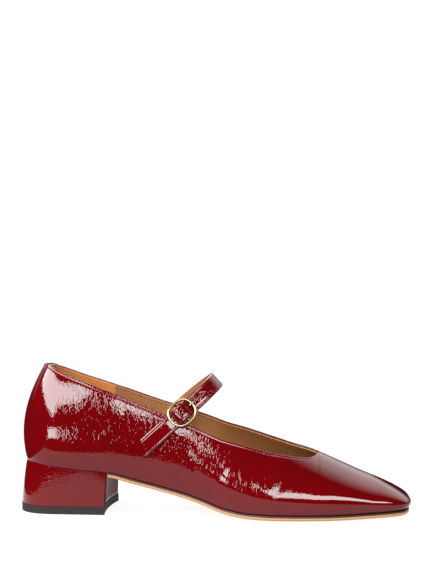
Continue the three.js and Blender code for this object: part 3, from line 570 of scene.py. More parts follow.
# The lining: tan leather pasted inside the upper and trimmed just under its folded edge. At the
# back it carries a heel grip, a band of suede with its own front edge.
LINING_BELOW_EDGE = 0.9 * MM
GRIP_FRONT = 47 * MM
GRIP_THICKNESS = 0.35 * MM
GRIP_LEAN = 0.12
LINING_TAN = "#825329"
GRIP_TAN = "#a0622e"

lining_rows = LINING_BELOW_EDGE * openness[:, None] + np.array([0, 0.4, 0.8, 1.4, 2.2, 3.4]) * MM
lining_face = last_face(lining_rows, 26)
lining_normals = level_foot(skin_normals(lining_face))


def behind_grip_front(points, blur):
    """1 on the grip and 0 before its leaning front edge."""
    lean = GRIP_LEAN * (points[..., 2] - HEEL_HEIGHT)
    return 1 - smoothstep(points[..., 0] - lean, GRIP_FRONT - blur, GRIP_FRONT + blur)


lining_depth = WALL + GRIP_THICKNESS * behind_grip_front(lining_face, 0.3 * MM)
lining = shell(
    "upper_lining",
    lining_face - lining_normals * (PATENT + 0.02 * MM),
    lining_face - lining_normals * lining_depth[..., None],
    0.3 * MM,
)


def darker(colour, share):
    return [value * share for value in colour[:3]] + [1.0]


def lining_leather(name, plain, suede=None):
    """Tan lining leather: vegetable-tanned, glazed by wear, with fine pores. Suede is the same hide
    with its nap outwards, paler and matt."""
    material, tree, shader, place = new_finish(name)
    tone = node(tree, "ShaderNodeTexNoise", {"Vector": place, "Scale": 1 / (14 * MM), "Detail": 4.0})
    grain = node(tree, "ShaderNodeTexVoronoi", {"Vector": place, "Scale": 1 / (0.9 * MM)}, feature="F1")
    tan = srgb(plain)
    colour = node(tree, "ShaderNodeMix", {"Factor": tone, "A": darker(tan, 0.72), "B": tan}, data_type="RGBA")
    if suede:
        nap = node(tree, "ShaderNodeAttribute", attribute_name="grip").outputs["Fac"]
        both = {"Factor": nap, "A": colour.outputs["Result"], "B": srgb(suede)}
        colour = node(tree, "ShaderNodeMix", both, data_type="RGBA")
    bump = node(tree, "ShaderNodeBump", {"Height": grain, "Strength": 0.5, "Distance": 0.08 * MM})
    tree.links.new(colour.outputs["Result"], shader.inputs["Base Color"])
    tree.links.new(bump.outputs[0], shader.inputs["Normal"])
    shader.inputs["Roughness"].default_value = 0.55
    return material


mark(lining, "grip", behind_grip_front(own_places(lining), 0.2 * MM))
lining.data.materials.append(lining_leather("tan_lining_leather", LINING_TAN, GRIP_TAN))
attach(lining, "root")

# The topline's stitching: one row of bonded thread that holds the folded edge and the lining,
# a stitch for every two and a half millimetres, in a shallow groove.
STITCH_PITCH = 2.5 * MM
STITCH_LENGTH = 1.9 * MM
THREAD = 0.24 * MM
THREAD_PINK = "#7d1a33"
THREAD_DARK = "#5a2f1d"


def grained(name, colour, roughness, grain, depth, detail, strength):
    """A finish of one colour, with a fine grain of a given size and depth."""
    material, tree, shader, place = new_finish(name)
    grains = node(tree, "ShaderNodeTexNoise", {"Vector": place, "Scale": 1 / grain, "Detail": detail})
    bump = node(tree, "ShaderNodeBump", {"Height": grains, "Strength": strength, "Distance": depth})
    tree.links.new(bump.outputs[0], shader.inputs["Normal"])
    shader.inputs["Base Color"].default_value = srgb(colour)
    shader.inputs["Roughness"].default_value = roughness
    return material, shader


def thread_finish(name, colour):
    """Bonded polyester thread: twisted, slightly lustrous."""
    return grained(name, colour, 0.45, 0.5 * MM, 0.05 * MM, 1.0, 0.4)[0]


def stitch_tree():
    """Stitches along a line: small lengths of thread, laid end to end with a gap between them."""
    tree = bpy.data.node_groups.new("stitch_row", "GeometryNodeTree")
    faces = tree.interface
    faces.new_socket("Line", in_out="INPUT", socket_type="NodeSocketGeometry")
    for name in ("Pitch", "Length", "Thread"):
        faces.new_socket(name, in_out="INPUT", socket_type="NodeSocketFloat")
    faces.new_socket("Finish", in_out="INPUT", socket_type="NodeSocketMaterial")
    faces.new_socket("Stitches", in_out="OUTPUT", socket_type="NodeSocketGeometry")
    given = tree.nodes.new("NodeGroupInput").outputs
    line = node(tree, "GeometryNodeMeshToCurve", {"Mesh": given["Line"]})
    points = node(tree, "GeometryNodeResampleCurve", {"Curve": line, "Length": given["Pitch"]}, mode="LENGTH")
    ahead = tree.nodes.new("GeometryNodeInputTangent")
    turned = node(tree, "FunctionNodeAlignRotationToVector", {"Vector": ahead}, axis="Z")
    half = node(tree, "ShaderNodeMath", {0: given["Length"], 1: 0.5}, operation="MULTIPLY")
    size = node(tree, "ShaderNodeCombineXYZ", {"X": given["Thread"], "Y": given["Thread"], "Z": half})
    bead = node(tree, "GeometryNodeMeshUVSphere", {"Segments": 8, "Rings": 6, "Radius": 1.0})
    laid = {"Points": points, "Instance": bead, "Rotation": turned, "Scale": size}
    row = node(tree, "GeometryNodeInstanceOnPoints", laid)
    real = node(tree, "GeometryNodeRealizeInstances", {"Geometry": row})
    smooth = node(tree, "GeometryNodeSetShadeSmooth", {"Geometry": real})
    done = node(tree, "GeometryNodeSetMaterial", {"Geometry": smooth, "Material": given["Finish"]})
    node(tree, "NodeGroupOutput", {"Stitches": done})
    return tree


STITCHES = stitch_tree()


def make_plain(thing, modifier):
    """Turns a piece and its one modifier into a plain mesh."""
    seen = bpy.context.evaluated_depsgraph_get()
    plain = bpy.data.meshes.new_from_object(thing.evaluated_get(seen))
    thing.modifiers.remove(modifier)
    thing.data = plain


def stitch_rows(name, lines, finish, pitch=STITCH_PITCH, length=STITCH_LENGTH, thread=THREAD):
    """A piece of stitches along lines that are given in the last's own coordinates."""
    points = np.concatenate(lines) + LAST_PLACE
    edges = []
    start = 0
    for line in lines:
        edges += [(start + i, start + i + 1) for i in range(len(line) - 1)]
        start += len(line)
    data = bpy.data.meshes.new(name)
    data.from_pydata(points.tolist(), edges, [])
    thing = in_scene(data)
    row = thing.modifiers.new("stitches", "NODES")
    row.node_group = STITCHES
    given = {item.name: item.identifier for item in STITCHES.interface.items_tree if item.in_out == "INPUT"}
    for key, value in (("Pitch", pitch), ("Length", length), ("Thread", thread), ("Finish", finish)):
        row[given[key]] = value
    make_plain(thing, row)
    return thing


def edge_line(distance, depth):
    """A line that runs round the opening at a distance from its edge, from throat to throat."""
    face = last_face(np.repeat(np.array([[distance, distance + 0.5 * MM]]), len(ring_x), 0), 8)
    line = (face - skin_normals(face) * depth)[:, -1]
    opening = ring_x < THROAT - distance
    first = np.argmin(opening)
    order = np.roll(np.arange(len(ring_x)), -first)
    return line[[i for i in order if opening[i]]]


pink_thread = thread_finish("pink_bonded_thread", THREAD_PINK)
dark_thread = thread_finish("dark_bonded_thread", THREAD_DARK)
topline_seam = edge_line(SEAM_FROM_EDGE, SEAM_DEPTH - 0.02 * MM)
topline_stitches = stitch_rows("topline_stitches", [topline_seam], pink_thread)
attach(topline_stitches, "root")
lining_seam = edge_line(SEAM_FROM_EDGE, WALL + 0.03 * MM)
lining_stitches = stitch_rows("lining_stitches", [lining_seam], dark_thread)
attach(lining_stitches, "root")

# The outsole: sole leather cut to the last's outline, its edge set smooth and painted dark, and its
# lower corner pared back to the bare tan. The heel takes its place behind the breast.
SOLE_MARGIN = 0.9 * MM
SOLE_BEVEL = 0.9 * MM
PAINT_DEPTH = 1.4 * MM
HEEL_LENGTH = 56.1 * MM
HEEL_BREAST_HOLLOW = 2.2 * MM
SOLE_TAN = "#a87548"
EDGE_DARK = "#171110"
ACROSS_STEPS = 24


def plan(margin):
    """The feather edge moved outwards: for each station its outer and its inner place."""
    edge = np.stack([ring["x"], ring["y"]], -1)
    run = np.roll(edge, -1, 0) - np.roll(edge, 1, 0)
    outwards = np.stack([run[:, 1], -run[:, 0]], -1)
    outwards /= np.linalg.norm(outwards, axis=1)[:, None]
    moved = edge + outwards * margin
    count = len(STATIONS)
    return np.stack([moved[:count], moved[-np.arange(count)]], axis=1)


def crosswise(pairs):
    """Points from side to side of each row of pairs."""
    share = np.linspace(0, 1, ACROSS_STEPS + 1)[None, :, None]
    return pairs[:, :1] * (1 - share) + pairs[:, 1:] * share


def at_height(grid, height):
    """A grid of places in the plan, lifted to a height for each, or to one for all."""
    return np.concatenate([grid, np.broadcast_to(height, grid.shape[:2])[..., None]], axis=2)


def slab(name, levels, sharp=35.0):
    """A closed body through grids of points, from its top to its underside."""
    levels = np.array(levels)
    depth, rows, width = levels.shape[:3]
    ids = np.arange(depth * rows * width).reshape(depth, rows, width)
    rim = np.concatenate([ids[:, 0, :-1], ids[:, :-1, -1], ids[:, -1, :0:-1], ids[:, :0:-1, 0]], axis=1)
    top, foot = (quads(ids[level], False, False).reshape(-1, 4) for level in (0, -1))
    side = quads(rim, False)[..., [0, 3, 2, 1]].reshape(-1, 4)
    return solid(name, levels, np.concatenate([top, foot[:, ::-1], side]).tolist(), sharp)


def breast_hollow(share):
    return HEEL_BREAST_HOLLOW * 4 * share * (1 - share)


forepart = STATIONS > HEEL_LENGTH - GAP


def sole_level(margin, below, crown):
    grid = crosswise(plan(margin)[forepart])
    share = np.linspace(0, 1, ACROSS_STEPS + 1)
    grid[0, :, 0] = HEEL_LENGTH + GAP - breast_hollow(share)
    drop = crown * np.minimum(1, 4.5 * share * (1 - share))
    height = feather_under(grid[..., 0]) - below - drop
    return at_height(grid, height)


sole_foot = GAP + SOLE_THICKNESS
outsole = slab("outsole", [
    sole_level(SOLE_MARGIN - 0.35 * MM, GAP, 0),
    sole_level(SOLE_MARGIN - 0.05 * MM, GAP + 0.12 * MM, 0),
    sole_level(SOLE_MARGIN, GAP + 0.4 * MM, 0),
    sole_level(SOLE_MARGIN, PAINT_DEPTH - 0.1 * MM, 0),
    sole_level(SOLE_MARGIN, PAINT_DEPTH + 0.1 * MM, 0),
    sole_level(SOLE_MARGIN, sole_foot - SOLE_BEVEL - 0.3 * MM, 0),
    sole_level(SOLE_MARGIN - 0.1 * MM, sole_foot - SOLE_BEVEL, 0),
    sole_level(SOLE_MARGIN - SOLE_BEVEL * 0.8, sole_foot - 0.18 * MM, 0),
    sole_level(SOLE_MARGIN - SOLE_BEVEL - 0.2 * MM, sole_foot, 0),
    sole_level(SOLE_MARGIN - SOLE_BEVEL - 0.6 * MM, sole_foot, SOLE_CROWN),
], sharp=50)
places = own_places(outsole)
below_feather = feather_under(places[:, 0]) - places[:, 2]
mark(outsole, "paint", 1 - smoothstep(below_feather, PAINT_DEPTH - 0.05 * MM, PAINT_DEPTH + 0.05 * MM))


def sole_leather(name):
    """Sole leather: firm, smooth and tan, with faint fibre streaks along it, and a dark painted edge."""
    material, tree, shader, place = new_finish(name)
    stretched = node(tree, "ShaderNodeMapping", {"Vector": place, "Scale": (0.2, 1, 1)})
    streaks = node(tree, "ShaderNodeTexNoise", {"Vector": stretched, "Scale": 1 / (2.5 * MM), "Detail": 4.0})
    tan = srgb(SOLE_TAN)
    bare = node(tree, "ShaderNodeMix", {"Factor": streaks, "A": darker(tan, 0.8), "B": tan}, data_type="RGBA")
    paint = node(tree, "ShaderNodeAttribute", attribute_name="paint").outputs["Fac"]
    painted = {"Factor": paint, "A": bare.outputs["Result"], "B": srgb(EDGE_DARK)}
    colour = node(tree, "ShaderNodeMix", painted, data_type="RGBA")
    bump = node(tree, "ShaderNodeBump", {"Height": streaks, "Strength": 0.3, "Distance": 0.05 * MM})
    tree.links.new(colour.outputs["Result"], shader.inputs["Base Color"])
    tree.links.new(bump.outputs[0], shader.inputs["Normal"])
    shader.inputs["Roughness"].default_value = 0.42
    return material


outsole.data.materials.append(sole_leather("tan_sole_leather"))
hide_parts("outsole")
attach(outsole, "root")

# The heel: a moulded block wrapped in the upper's patent leather, which turns in round the breast.
# The cover is pulled tight, so its crinkle is low.
HEEL_BREAST_LEAN = 1.0 * MM
HEEL_FOOT_WIDTH = 51.4 * MM
HEEL_SIDE_POWER = 1.6
TOP_PIECE = 5.0 * MM
FLAT_GAP = 0.1 * MM
HEEL_CORNER = 0.5 * MM
# How much of the coat the painted shade on the heel's breast takes away.
BREAST_PAINTED_SHADE = 0.75

heel_stations = STATIONS < HEEL_LENGTH + GAP
heel_x = STATIONS[heel_stations]
heel_top = crosswise(plan(0)[heel_stations])
hollow = breast_hollow(np.linspace(0, 1, ACROSS_STEPS + 1)) * ((heel_x / HEEL_LENGTH) ** 4)[:, None]


def heel_foot(lip):
    """The heel's outline at the floor, row for row with the feather edge."""
    back, front = -HEEL_FLARE - lip, HEEL_LENGTH - HEEL_BREAST_LEAN + lip
    end = round_end((HEEL_ROUND - heel_x) / HEEL_ROUND, HEEL_SQUARENESS)
    x = back + (front - back) * heel_x / HEEL_LENGTH
    sides = [np.stack([x, side * (HEEL_FOOT_WIDTH / 2 + lip) * end], -1) for side in (OUT, IN)]
    return crosswise(np.stack(sides, axis=1))


def heel_level(up):
    grid = heel_foot(0) + (heel_top - heel_foot(0)) * up**HEEL_SIDE_POWER
    grid[..., 0] -= hollow
    foot = TOP_PIECE + FLAT_GAP
    height = foot + (feather_under(grid[..., 0]) - GAP - foot) * up
    return at_height(grid, height)


def round_corners(thing, width, angle=40.0):
    """Rounds a piece's hard edges."""
    edge = thing.modifiers.new("corners", "BEVEL")
    edge.width = width
    edge.segments = 3
    edge.limit_method = "ANGLE"
    edge.angle_limit = math.radians(angle)
    edge.use_clamp_overlap = True
    edge.harden_normals = False


heel_block = slab("heel_block", [heel_level(up) for up in np.linspace(1, 0, 15)], sharp=45)
round_corners(heel_block, HEEL_CORNER)
places = own_places(heel_block)
towards_breast = smoothstep(places[:, 0], 0.4 * HEEL_LENGTH, 0.7 * HEEL_LENGTH)
mark(heel_block, "crinkle", 0.22 - 0.12 * towards_breast)
heel_finish = patent_leather("heel_patent_leather", LEVEL)
heel_block.data.materials.append(heel_finish)
# The breast faces the toe, and its coat is thinned there as painted shade. This stands for the shadow that
# dims the floor's reflection on it.
facing_toe = np.array([vertex.normal.x for vertex in heel_block.data.vertices])
mark(heel_block, "gloss", 1 - BREAST_PAINTED_SHADE * smoothstep(facing_toe, 0.75, 0.95))
gloss = node(heel_finish.node_tree, "ShaderNodeAttribute", attribute_name="gloss")
coated = heel_finish.node_tree.nodes["Principled BSDF"]
heel_finish.node_tree.links.new(gloss.outputs["Fac"], coated.inputs["Coat Weight"])
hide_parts("heel_block")
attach(heel_block, "root")

# The heel's top piece: a slab of dark rubber, moulded with a matt face and trimmed flush.
RUBBER_BROWN = "#1a1412"


def heel_rubber(name):
    """Moulded rubber: matt, dark, with a fine grain from the mould."""
    material, shader = grained(name, RUBBER_BROWN, 0.7, 0.8 * MM, 0.06 * MM, 3.0, 0.5)
    shader.inputs["Specular IOR Level"].default_value = 0.2
    return material


def top_piece_level(height):
    grid = heel_foot(TOP_PIECE_LIP)
    grid[..., 0] -= hollow
    return at_height(grid, height)


top_piece = slab("heel_top_piece", [top_piece_level(TOP_PIECE * share) for share in (1, 0.6, 0.3, 0)])
round_corners(top_piece, 0.35 * MM)
top_piece.data.materials.append(heel_rubber("dark_heel_rubber"))
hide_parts("heel_top_piece")
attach(top_piece, "root")

# The insole: board under a full sock of tan leather, its edge against the lining.
INSOLE_THICKNESS = 2.2 * MM
SOCK_TAN = "#8c5a2e"


def insole_level(inset, above):
    grid = crosswise(plan(-WALL - GAP - inset))
    height = feather_under(grid[..., 0]) + above
    return at_height(grid, height)


insole = slab("insole", [
    insole_level(0.6 * MM, INSOLE_THICKNESS),
    insole_level(0.15 * MM, INSOLE_THICKNESS - 0.15 * MM),
    insole_level(0, INSOLE_THICKNESS - 0.6 * MM),
    insole_level(0, 0),
], sharp=50)
insole.data.materials.append(lining_leather("tan_sock_leather", SOCK_TAN))
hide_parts("insole")
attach(insole, "root")

# The instep strap: patent leather lined with tan leather and stitched all round. Its free end lies
# on the outer quarter, it runs through the buckle and over the instep, and its other end is sewn
# between the inner quarter and its lining.
STRAP_WIDTH = 10.4 * MM
STRAP_THICKNESS = 1.6 * MM
STRAP_LINING = 0.55 * MM
STRAP_FROM_BACK = 99.2 * MM
STRAP_TILT = math.radians(42)
STRAP_RISE = 26.2 * MM
STRAP_DRIFT = 4.1 * MM
STRAP_TAIL = 31.6 * MM
STRAP_TAIL_SLANT = 2.4 * MM
STRAP_TUCK = 14 * MM
HOLE_DIAMETER = 1.6 * MM
HOLE_STEP = 6.175 * MM
HOLES = 3
BUCKLE_LIFT = 4.7 * MM
BUCKLE_LENGTH = 18.6 * MM
BUCKLE_WIDTH = 16.4 * MM
BUCKLE_SQUARENESS = 2.4
BUCKLE_WIRE = 1.6 * MM
BUCKLE_CLEARANCE = 0.8 * MM
BAR_DIAMETER = 1.4 * MM
BAR_DROP = 2.0 * MM
PRONG_DIAMETER = 1.0 * MM
LEAVE = 3 * MM

ALONG = np.array([math.cos(STRAP_TILT), 0, math.sin(STRAP_TILT)])
ACROSS = np.array([math.sin(STRAP_TILT), 0, -math.cos(STRAP_TILT)])
STRAP_DEPTH = GAP + STRAP_THICKNESS / 2
TUCK_DEPTH = -(WALL + GAP + STRAP_THICKNESS / 2)


def unit(vector):
    return vector / np.linalg.norm(vector, axis=-1, keepdims=True)


outer_crossing = np.array([STRAP_FROM_BACK, 0, float(topline_height(np.array(STRAP_FROM_BACK), OUT))])
drifted = outer_crossing - ACROSS * STRAP_DRIFT


def over_inner_topline(s):
    place = drifted + ALONG * s
    return place[2] - topline_height(place[0], IN)


inner_crossing = drifted + ALONG * turning_point(over_inner_topline, -STRAP_RISE, STRAP_RISE)


def quarter_point(x, z, side):
    """The upper's outer face on one side, at places seen from the side."""
    column = columns_at(x, side)
    s = turning_point(lambda t: on_section(column, t)[..., 2] - z, np.zeros_like(x), np.full_like(x, 2.0))
    return on_section(column, s)


def on_quarter(crossing, side, up, across, depth):
    """Points so far up and across from a crossing, on the quarter's outer face or off it."""
    up, across = np.broadcast_arrays(np.asarray(up, float), np.asarray(across, float))

    def surface(u, v):
        place = crossing + ALONG * u[..., None] + ACROSS * v[..., None]
        return quarter_point(place[..., 0], place[..., 2], side)

    step = 0.5 * MM
    rise = unit(surface(up + step, across) - surface(up - step, across))
    normal = unit(np.cross(rise, surface(up, across + step) - surface(up, across - step)))
    normal = np.where((normal[..., 1] * side < 0)[..., None], -normal, normal)
    return surface(up, across) + normal * depth, rise, normal


STRAP_DROP = STRAP_THICKNESS / 2 + BUCKLE_CLEARANCE + BUCKLE_WIRE / 2
leaving = on_quarter(outer_crossing, OUT, [LEAVE], [0.0], STRAP_DEPTH)
leave_point, BUCKLE_UP, BUCKLE_OUT = (part[0] for part in leaving)
BUCKLE_ACROSS = np.cross(BUCKLE_OUT, BUCKLE_UP)
BUCKLE_ACROSS *= np.sign(BUCKLE_ACROSS @ ACROSS)
BUCKLE_MIDDLE = leave_point + BUCKLE_UP * (BUCKLE_LIFT - LEAVE) + BUCKLE_OUT * STRAP_DROP


def at_buckle(up, out, across):
    up, out, across = (np.asarray(v, float)[..., None] for v in (up, out, across))
    return BUCKLE_MIDDLE + BUCKLE_UP * up + BUCKLE_OUT * out + BUCKLE_ACROSS * across


EYE = BAR_DIAMETER / 2 + GAP + PRONG_DIAMETER / 2
HUMP = STRAP_DROP + STRAP_THICKNESS / 2 + GAP + EYE + PRONG_DIAMETER / 2 - BAR_DROP
HUMP_HALF = BUCKLE_LENGTH / 2 - BUCKLE_WIRE


def hump_at(up):
    """How far the strap stands out of its line to pass over the buckle's bar."""
    return np.where(np.abs(up) < HUMP_HALF, HUMP * np.cos(math.pi * up / (2 * HUMP_HALF)) ** 2, 0)


def bezier(points, t):
    a, b, c, d = points
    t = t[:, None]
    return a * (1 - t) ** 3 + 3 * b * t * (1 - t) ** 2 + 3 * c * t * t * (1 - t) + d * t**3


def strap_rows(shares):
    """The strap's middle surface, from its free end to the end inside the inner quarter."""
    half = STRAP_WIDTH / 2
    tail_length = STRAP_TAIL - BUCKLE_LIFT
    way = np.linspace(0, 1, 34)[:-1, None]
    slant = -((1 - way) ** 4) * STRAP_TAIL_SLANT * shares
    below = -tail_length * (1 - way) + slant
    tail, _, _ = on_quarter(outer_crossing, OUT, below, shares * half, STRAP_DEPTH)

    straight_end = BUCKLE_LENGTH / 2
    up = np.linspace(0, BUCKLE_LIFT + straight_end, 44)[:, None]
    wall, _, _ = on_quarter(outer_crossing, OUT, up, shares * half, STRAP_DEPTH)
    flat = at_buckle(up - BUCKLE_LIFT, -STRAP_DROP, shares * half)
    hold = 1 - smoothstep(up, LEAVE, 2 * LEAVE)[..., None]
    straight = wall * hold + flat * (1 - hold) + BUCKLE_OUT * hump_at(up - BUCKLE_LIFT)[..., None]

    start = at_buckle(straight_end, -STRAP_DROP, 0)
    arriving = on_quarter(inner_crossing, IN, [0.0], [0.0], TUCK_DEPTH)
    landing, landing_rise, _ = (part[0] for part in arriving)
    top = BUCKLE_MIDDLE + ALONG * STRAP_RISE - ACROSS * STRAP_DRIFT / 5
    top[1] = (start[1] + landing[1]) / 2
    rise, fall = (top - start) @ ALONG, (top - landing) @ ALONG
    half_span = landing[1] - top[1]
    over = np.array([0.0, 1.0, 0.0]) - ACROSS * STRAP_DRIFT / (2 * half_span)
    shoulder, crown = 0.52, 0.44
    t = np.linspace(0, 1, 27)[1:]
    near = bezier([start, start + BUCKLE_UP * rise * shoulder, top - over * half_span * crown, top], t)
    turned = smoothstep(t, 0, 1)[:, None]
    across = unit(BUCKLE_ACROSS * (1 - turned) + ACROSS * turned)
    near_rows = near[:, None] + across[:, None] * (shares * half)[None, :, None]
    t = np.linspace(0, 1, 37)[1:]
    far = bezier([top, top + over * half_span * crown, landing + landing_rise * fall * shoulder, landing], t)
    hold = smoothstep(t, 0.7, 1)[:, None, None]
    inside, _, _ = on_quarter(inner_crossing, IN, np.zeros_like(shares), shares * half, TUCK_DEPTH)
    flat = ACROSS * (shares * half)[None, :, None]
    far_rows = far[:, None] + flat * (1 - hold) + (inside - landing) * hold

    up = -STRAP_TUCK * np.linspace(0, 1, 15)[1:, None]
    tuck, _, _ = on_quarter(inner_crossing, IN, up, shares * half, TUCK_DEPTH)
    return np.concatenate([tail, straight, near_rows, far_rows, tuck])


def band(name, front, back, sharp=50.0):
    """A closed strip between two faces, given in rows along it."""
    loops = np.concatenate([front, back[:, ::-1]], axis=1)
    rows, size = loops.shape[:2]
    width = front.shape[1]
    ids = np.arange(rows * size).reshape(rows, size)
    first, final = ids[0], ids[-1]
    ends = []
    for j in range(width - 1):
        ends.append([first[j], first[j + 1], first[size - 2 - j], first[size - 1 - j]])
        ends.append([final[j + 1], final[j], final[size - 1 - j], final[size - 2 - j]])
    faces = quads(ids, False).reshape(-1, 4).tolist() + [[int(i) for i in end] for end in ends]
    return solid(name, loops, faces, sharp)


EDGE_TO_SEAM = 1.6 * MM
SEAM_SINK = 0.13 * MM
ROUNDED_FROM = 0.86
ROUNDING_POWER = 2.4
BUCKLE_ROW = 50
HIDDEN_ROWS = 18
seam_share = 1 - 2 * EDGE_TO_SEAM / STRAP_WIDTH
groove = 0.05
half_shares = np.array([
    0.0, 0.2, 0.4, seam_share - 2 * groove, seam_share - groove, seam_share, seam_share + groove,
    0.82, 0.9, 0.96, 0.99, 1.0,
])
strap_shares = np.concatenate([-half_shares[:0:-1], half_shares])
strap_middle = strap_rows(strap_shares)
strap_normals = grid_normals(strap_middle, False)
facing_out = np.sign((strap_normals[BUCKLE_ROW, len(half_shares)] * BUCKLE_OUT).sum())
strap_normals = strap_normals * facing_out
edge_share = np.abs(strap_shares)
past_flat = np.clip(edge_share - ROUNDED_FROM, 0, 1) / (1 - ROUNDED_FROM)
rounding = np.sqrt(np.clip(1 - past_flat**ROUNDING_POWER, 0, 1))
seam_dip = SEAM_SINK * np.exp(-(((edge_share - seam_share) / groove) ** 2))
seam_level = -STRAP_THICKNESS / 2 + STRAP_LINING
front_depth = seam_level + 0.05 * MM + (STRAP_THICKNESS / 2 - seam_level - 0.05 * MM) * rounding - seam_dip
strap = band(
    "strap_patent",
    strap_middle + strap_normals * front_depth[None, :, None],
    strap_middle + strap_normals * seam_level,
)
strap_lining = band(
    "strap_lining",
    strap_middle + strap_normals * (seam_level - 0.02 * MM),
    strap_middle - strap_normals * (STRAP_THICKNESS / 2 - 0.12 * MM * (1 - rounding))[None, :, None],
)


def circle(first, second, sides):
    """Points round a unit circle, from its two directions."""
    turn = 2 * math.pi * np.arange(sides)[:, None] / sides
    return first[..., None, :] * np.cos(turn) + second[..., None, :] * np.sin(turn)


def wire(path, radius, closed, sides=20):
    """Points and faces of a round wire along places given as up, out and across in the buckle."""
    points = at_buckle(*np.array(path).T)
    count = len(points)
    if closed:
        ahead = unit(np.roll(points, -1, 0) - np.roll(points, 1, 0))
    else:
        both_ways = points[2:] - points[:-2]
        ahead = unit(np.concatenate([points[1:2] - points[:1], both_ways, points[-1:] - points[-2:-1]]))
    lift = np.where((np.abs(ahead @ BUCKLE_OUT) < 0.9)[:, None], BUCKLE_OUT, BUCKLE_UP)
    if not closed or np.abs(ahead @ BUCKLE_OUT).max() > 0.5:
        lift = np.repeat(BUCKLE_ACROSS[None], count, 0)
        lift = np.where((np.abs(ahead @ BUCKLE_ACROSS) < 0.9)[:, None], lift, BUCKLE_UP)
    lift = unit(lift - ahead * (lift * ahead).sum(1)[:, None])
    rings = points[:, None] + radius * circle(np.cross(ahead, lift), lift, sides)
    ids = np.arange(count * sides).reshape(count, sides)
    faces = quads(ids, closed).reshape(-1, 4).tolist()
    if not closed:
        faces += [ids[0].tolist(), ids[-1][::-1].tolist()]
    return rings, faces


def smooth_path(places, steps):
    """A smooth path through a few places in the buckle."""
    places = np.array(places, float)
    padded = np.concatenate([2 * places[:1] - places[1:2], places, 2 * places[-1:] - places[-2:-1]])
    path = []
    for k in range(steps + 1):
        value = k / steps * (len(places) - 1)
        i = min(int(value), len(places) - 2)
        t = value - i
        a, b, c, d = padded[i:i + 4]
        path.append(
            0.5 * (2 * b + (c - a) * t + (2 * a - 5 * b + 4 * c - d) * t**2 + (3 * b - a - 3 * c + d) * t**3)
        )
    return path


WIRE_UP = (BUCKLE_LENGTH - BUCKLE_WIRE) / 2
WIRE_ACROSS = (BUCKLE_WIDTH - BUCKLE_WIRE) / 2
PRONG_HOLE_AT = 0.64 * WIRE_UP
prong_over = (BUCKLE_WIRE + PRONG_DIAMETER) / 2 + FLAT_GAP
shank_path = smooth_path([
    [EYE, -BAR_DROP, 0],
    [0.39 * WIRE_UP, -1.2 * BAR_DROP, 0],
    [0.55 * WIRE_UP, -BAR_DROP, 0],
    [PRONG_HOLE_AT + GAP, -0.45 * BAR_DROP, 0],
    [0.8 * WIRE_UP, 0.6 * prong_over, 0],
    [WIRE_UP, prong_over, 0],
    [WIRE_UP + 0.8 * BUCKLE_WIRE, 0.85 * prong_over, 0],
], 40)


def pin(name, middle, direction, radius, length, sides=20):
    """A short round pin, to cut a hole with."""
    direction = unit(direction)
    aside = unit(np.cross(direction, BUCKLE_UP if abs(direction @ BUCKLE_UP) < 0.9 else BUCKLE_ACROSS))
    rim = middle + radius * circle(aside, np.cross(direction, aside), sides)
    points = np.concatenate([rim - direction * length / 2, rim + direction * length / 2])
    faces = [[i, (i + 1) % sides, sides + (i + 1) % sides, sides + i] for i in range(sides)]
    faces += [list(range(sides))[::-1], list(range(sides, 2 * sides))]
    return solid(name, points, faces)


def combine(thing, other, operation):
    """Cuts or joins a piece with another, and leaves a plain mesh."""
    cut = thing.modifiers.new("cut", "BOOLEAN")
    cut.operation = operation
    cut.solver = "EXACT"
    cut.object = other
    make_plain(thing, cut)
    bpy.data.objects.remove(other)


for piece in (strap, strap_lining):
    for i in range(1, HOLES):
        up = PRONG_HOLE_AT - HOLE_STEP * i
        middle = at_buckle(up, hump_at(np.array(up)) - STRAP_DROP, 0)
        combine(piece, pin("hole", middle, BUCKLE_OUT, HOLE_DIAMETER / 2, STRAP_THICKNESS * 3), "DIFFERENCE")
    rings, faces = wire(shank_path, PRONG_DIAMETER / 2 + GAP, False)
    combine(piece, solid("prong_hole", rings, faces), "DIFFERENCE")
    piece.data.set_sharp_from_angle(angle=math.radians(50))

# The leather creases most where it bends just above the buckle.
above_bend = own_places(strap)[:, 2] - BUCKLE_MIDDLE[2] - 8 * MM
mark(strap, "crinkle", 0.15 + 0.85 * np.exp(-((above_bend / (7 * MM)) ** 2)))
strap.data.materials.append(patent_leather("strap_patent_leather"))
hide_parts("strap")
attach(strap, "root")
strap_lining.data.materials.append(lining_leather("strap_lining_leather", LINING_TAN))
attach(strap_lining, "root")

seam_rows = strap_rows(np.array([-seam_share, seam_share]))
seam_out = grid_normals(seam_rows, False) * facing_out
seam_lines = seam_rows + seam_out * (STRAP_THICKNESS / 2 - 0.1 * MM)
keep_to = len(seam_lines) - HIDDEN_ROWS
way_over = np.linspace(0, 1, 8)[:, None]
end_stitches = seam_lines[2, :1] * (1 - way_over) + seam_lines[2, 1:] * way_over
strap_stitches = stitch_rows(
    "strap_stitches", [seam_lines[2:keep_to, 0], seam_lines[2:keep_to, 1], end_stitches], pink_thread,
    pitch=2.2 * MM, length=1.6 * MM, thread=0.2 * MM,
)
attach(strap_stitches, "root")

# The buckle: a cast oval frame with a bar across its middle and a bent wire prong, plated pale gold
# and polished. The prong's eye turns on the bar, and its shank goes through the strap's first hole.
GOLD = "#8f8262"
CHAPE_WIDTH = 8.4 * MM
OVAL_STEPS, EYE_STEPS = 96, 40


def bend(value):
    return np.sign(value) * np.abs(value) ** (2 / BUCKLE_SQUARENESS)


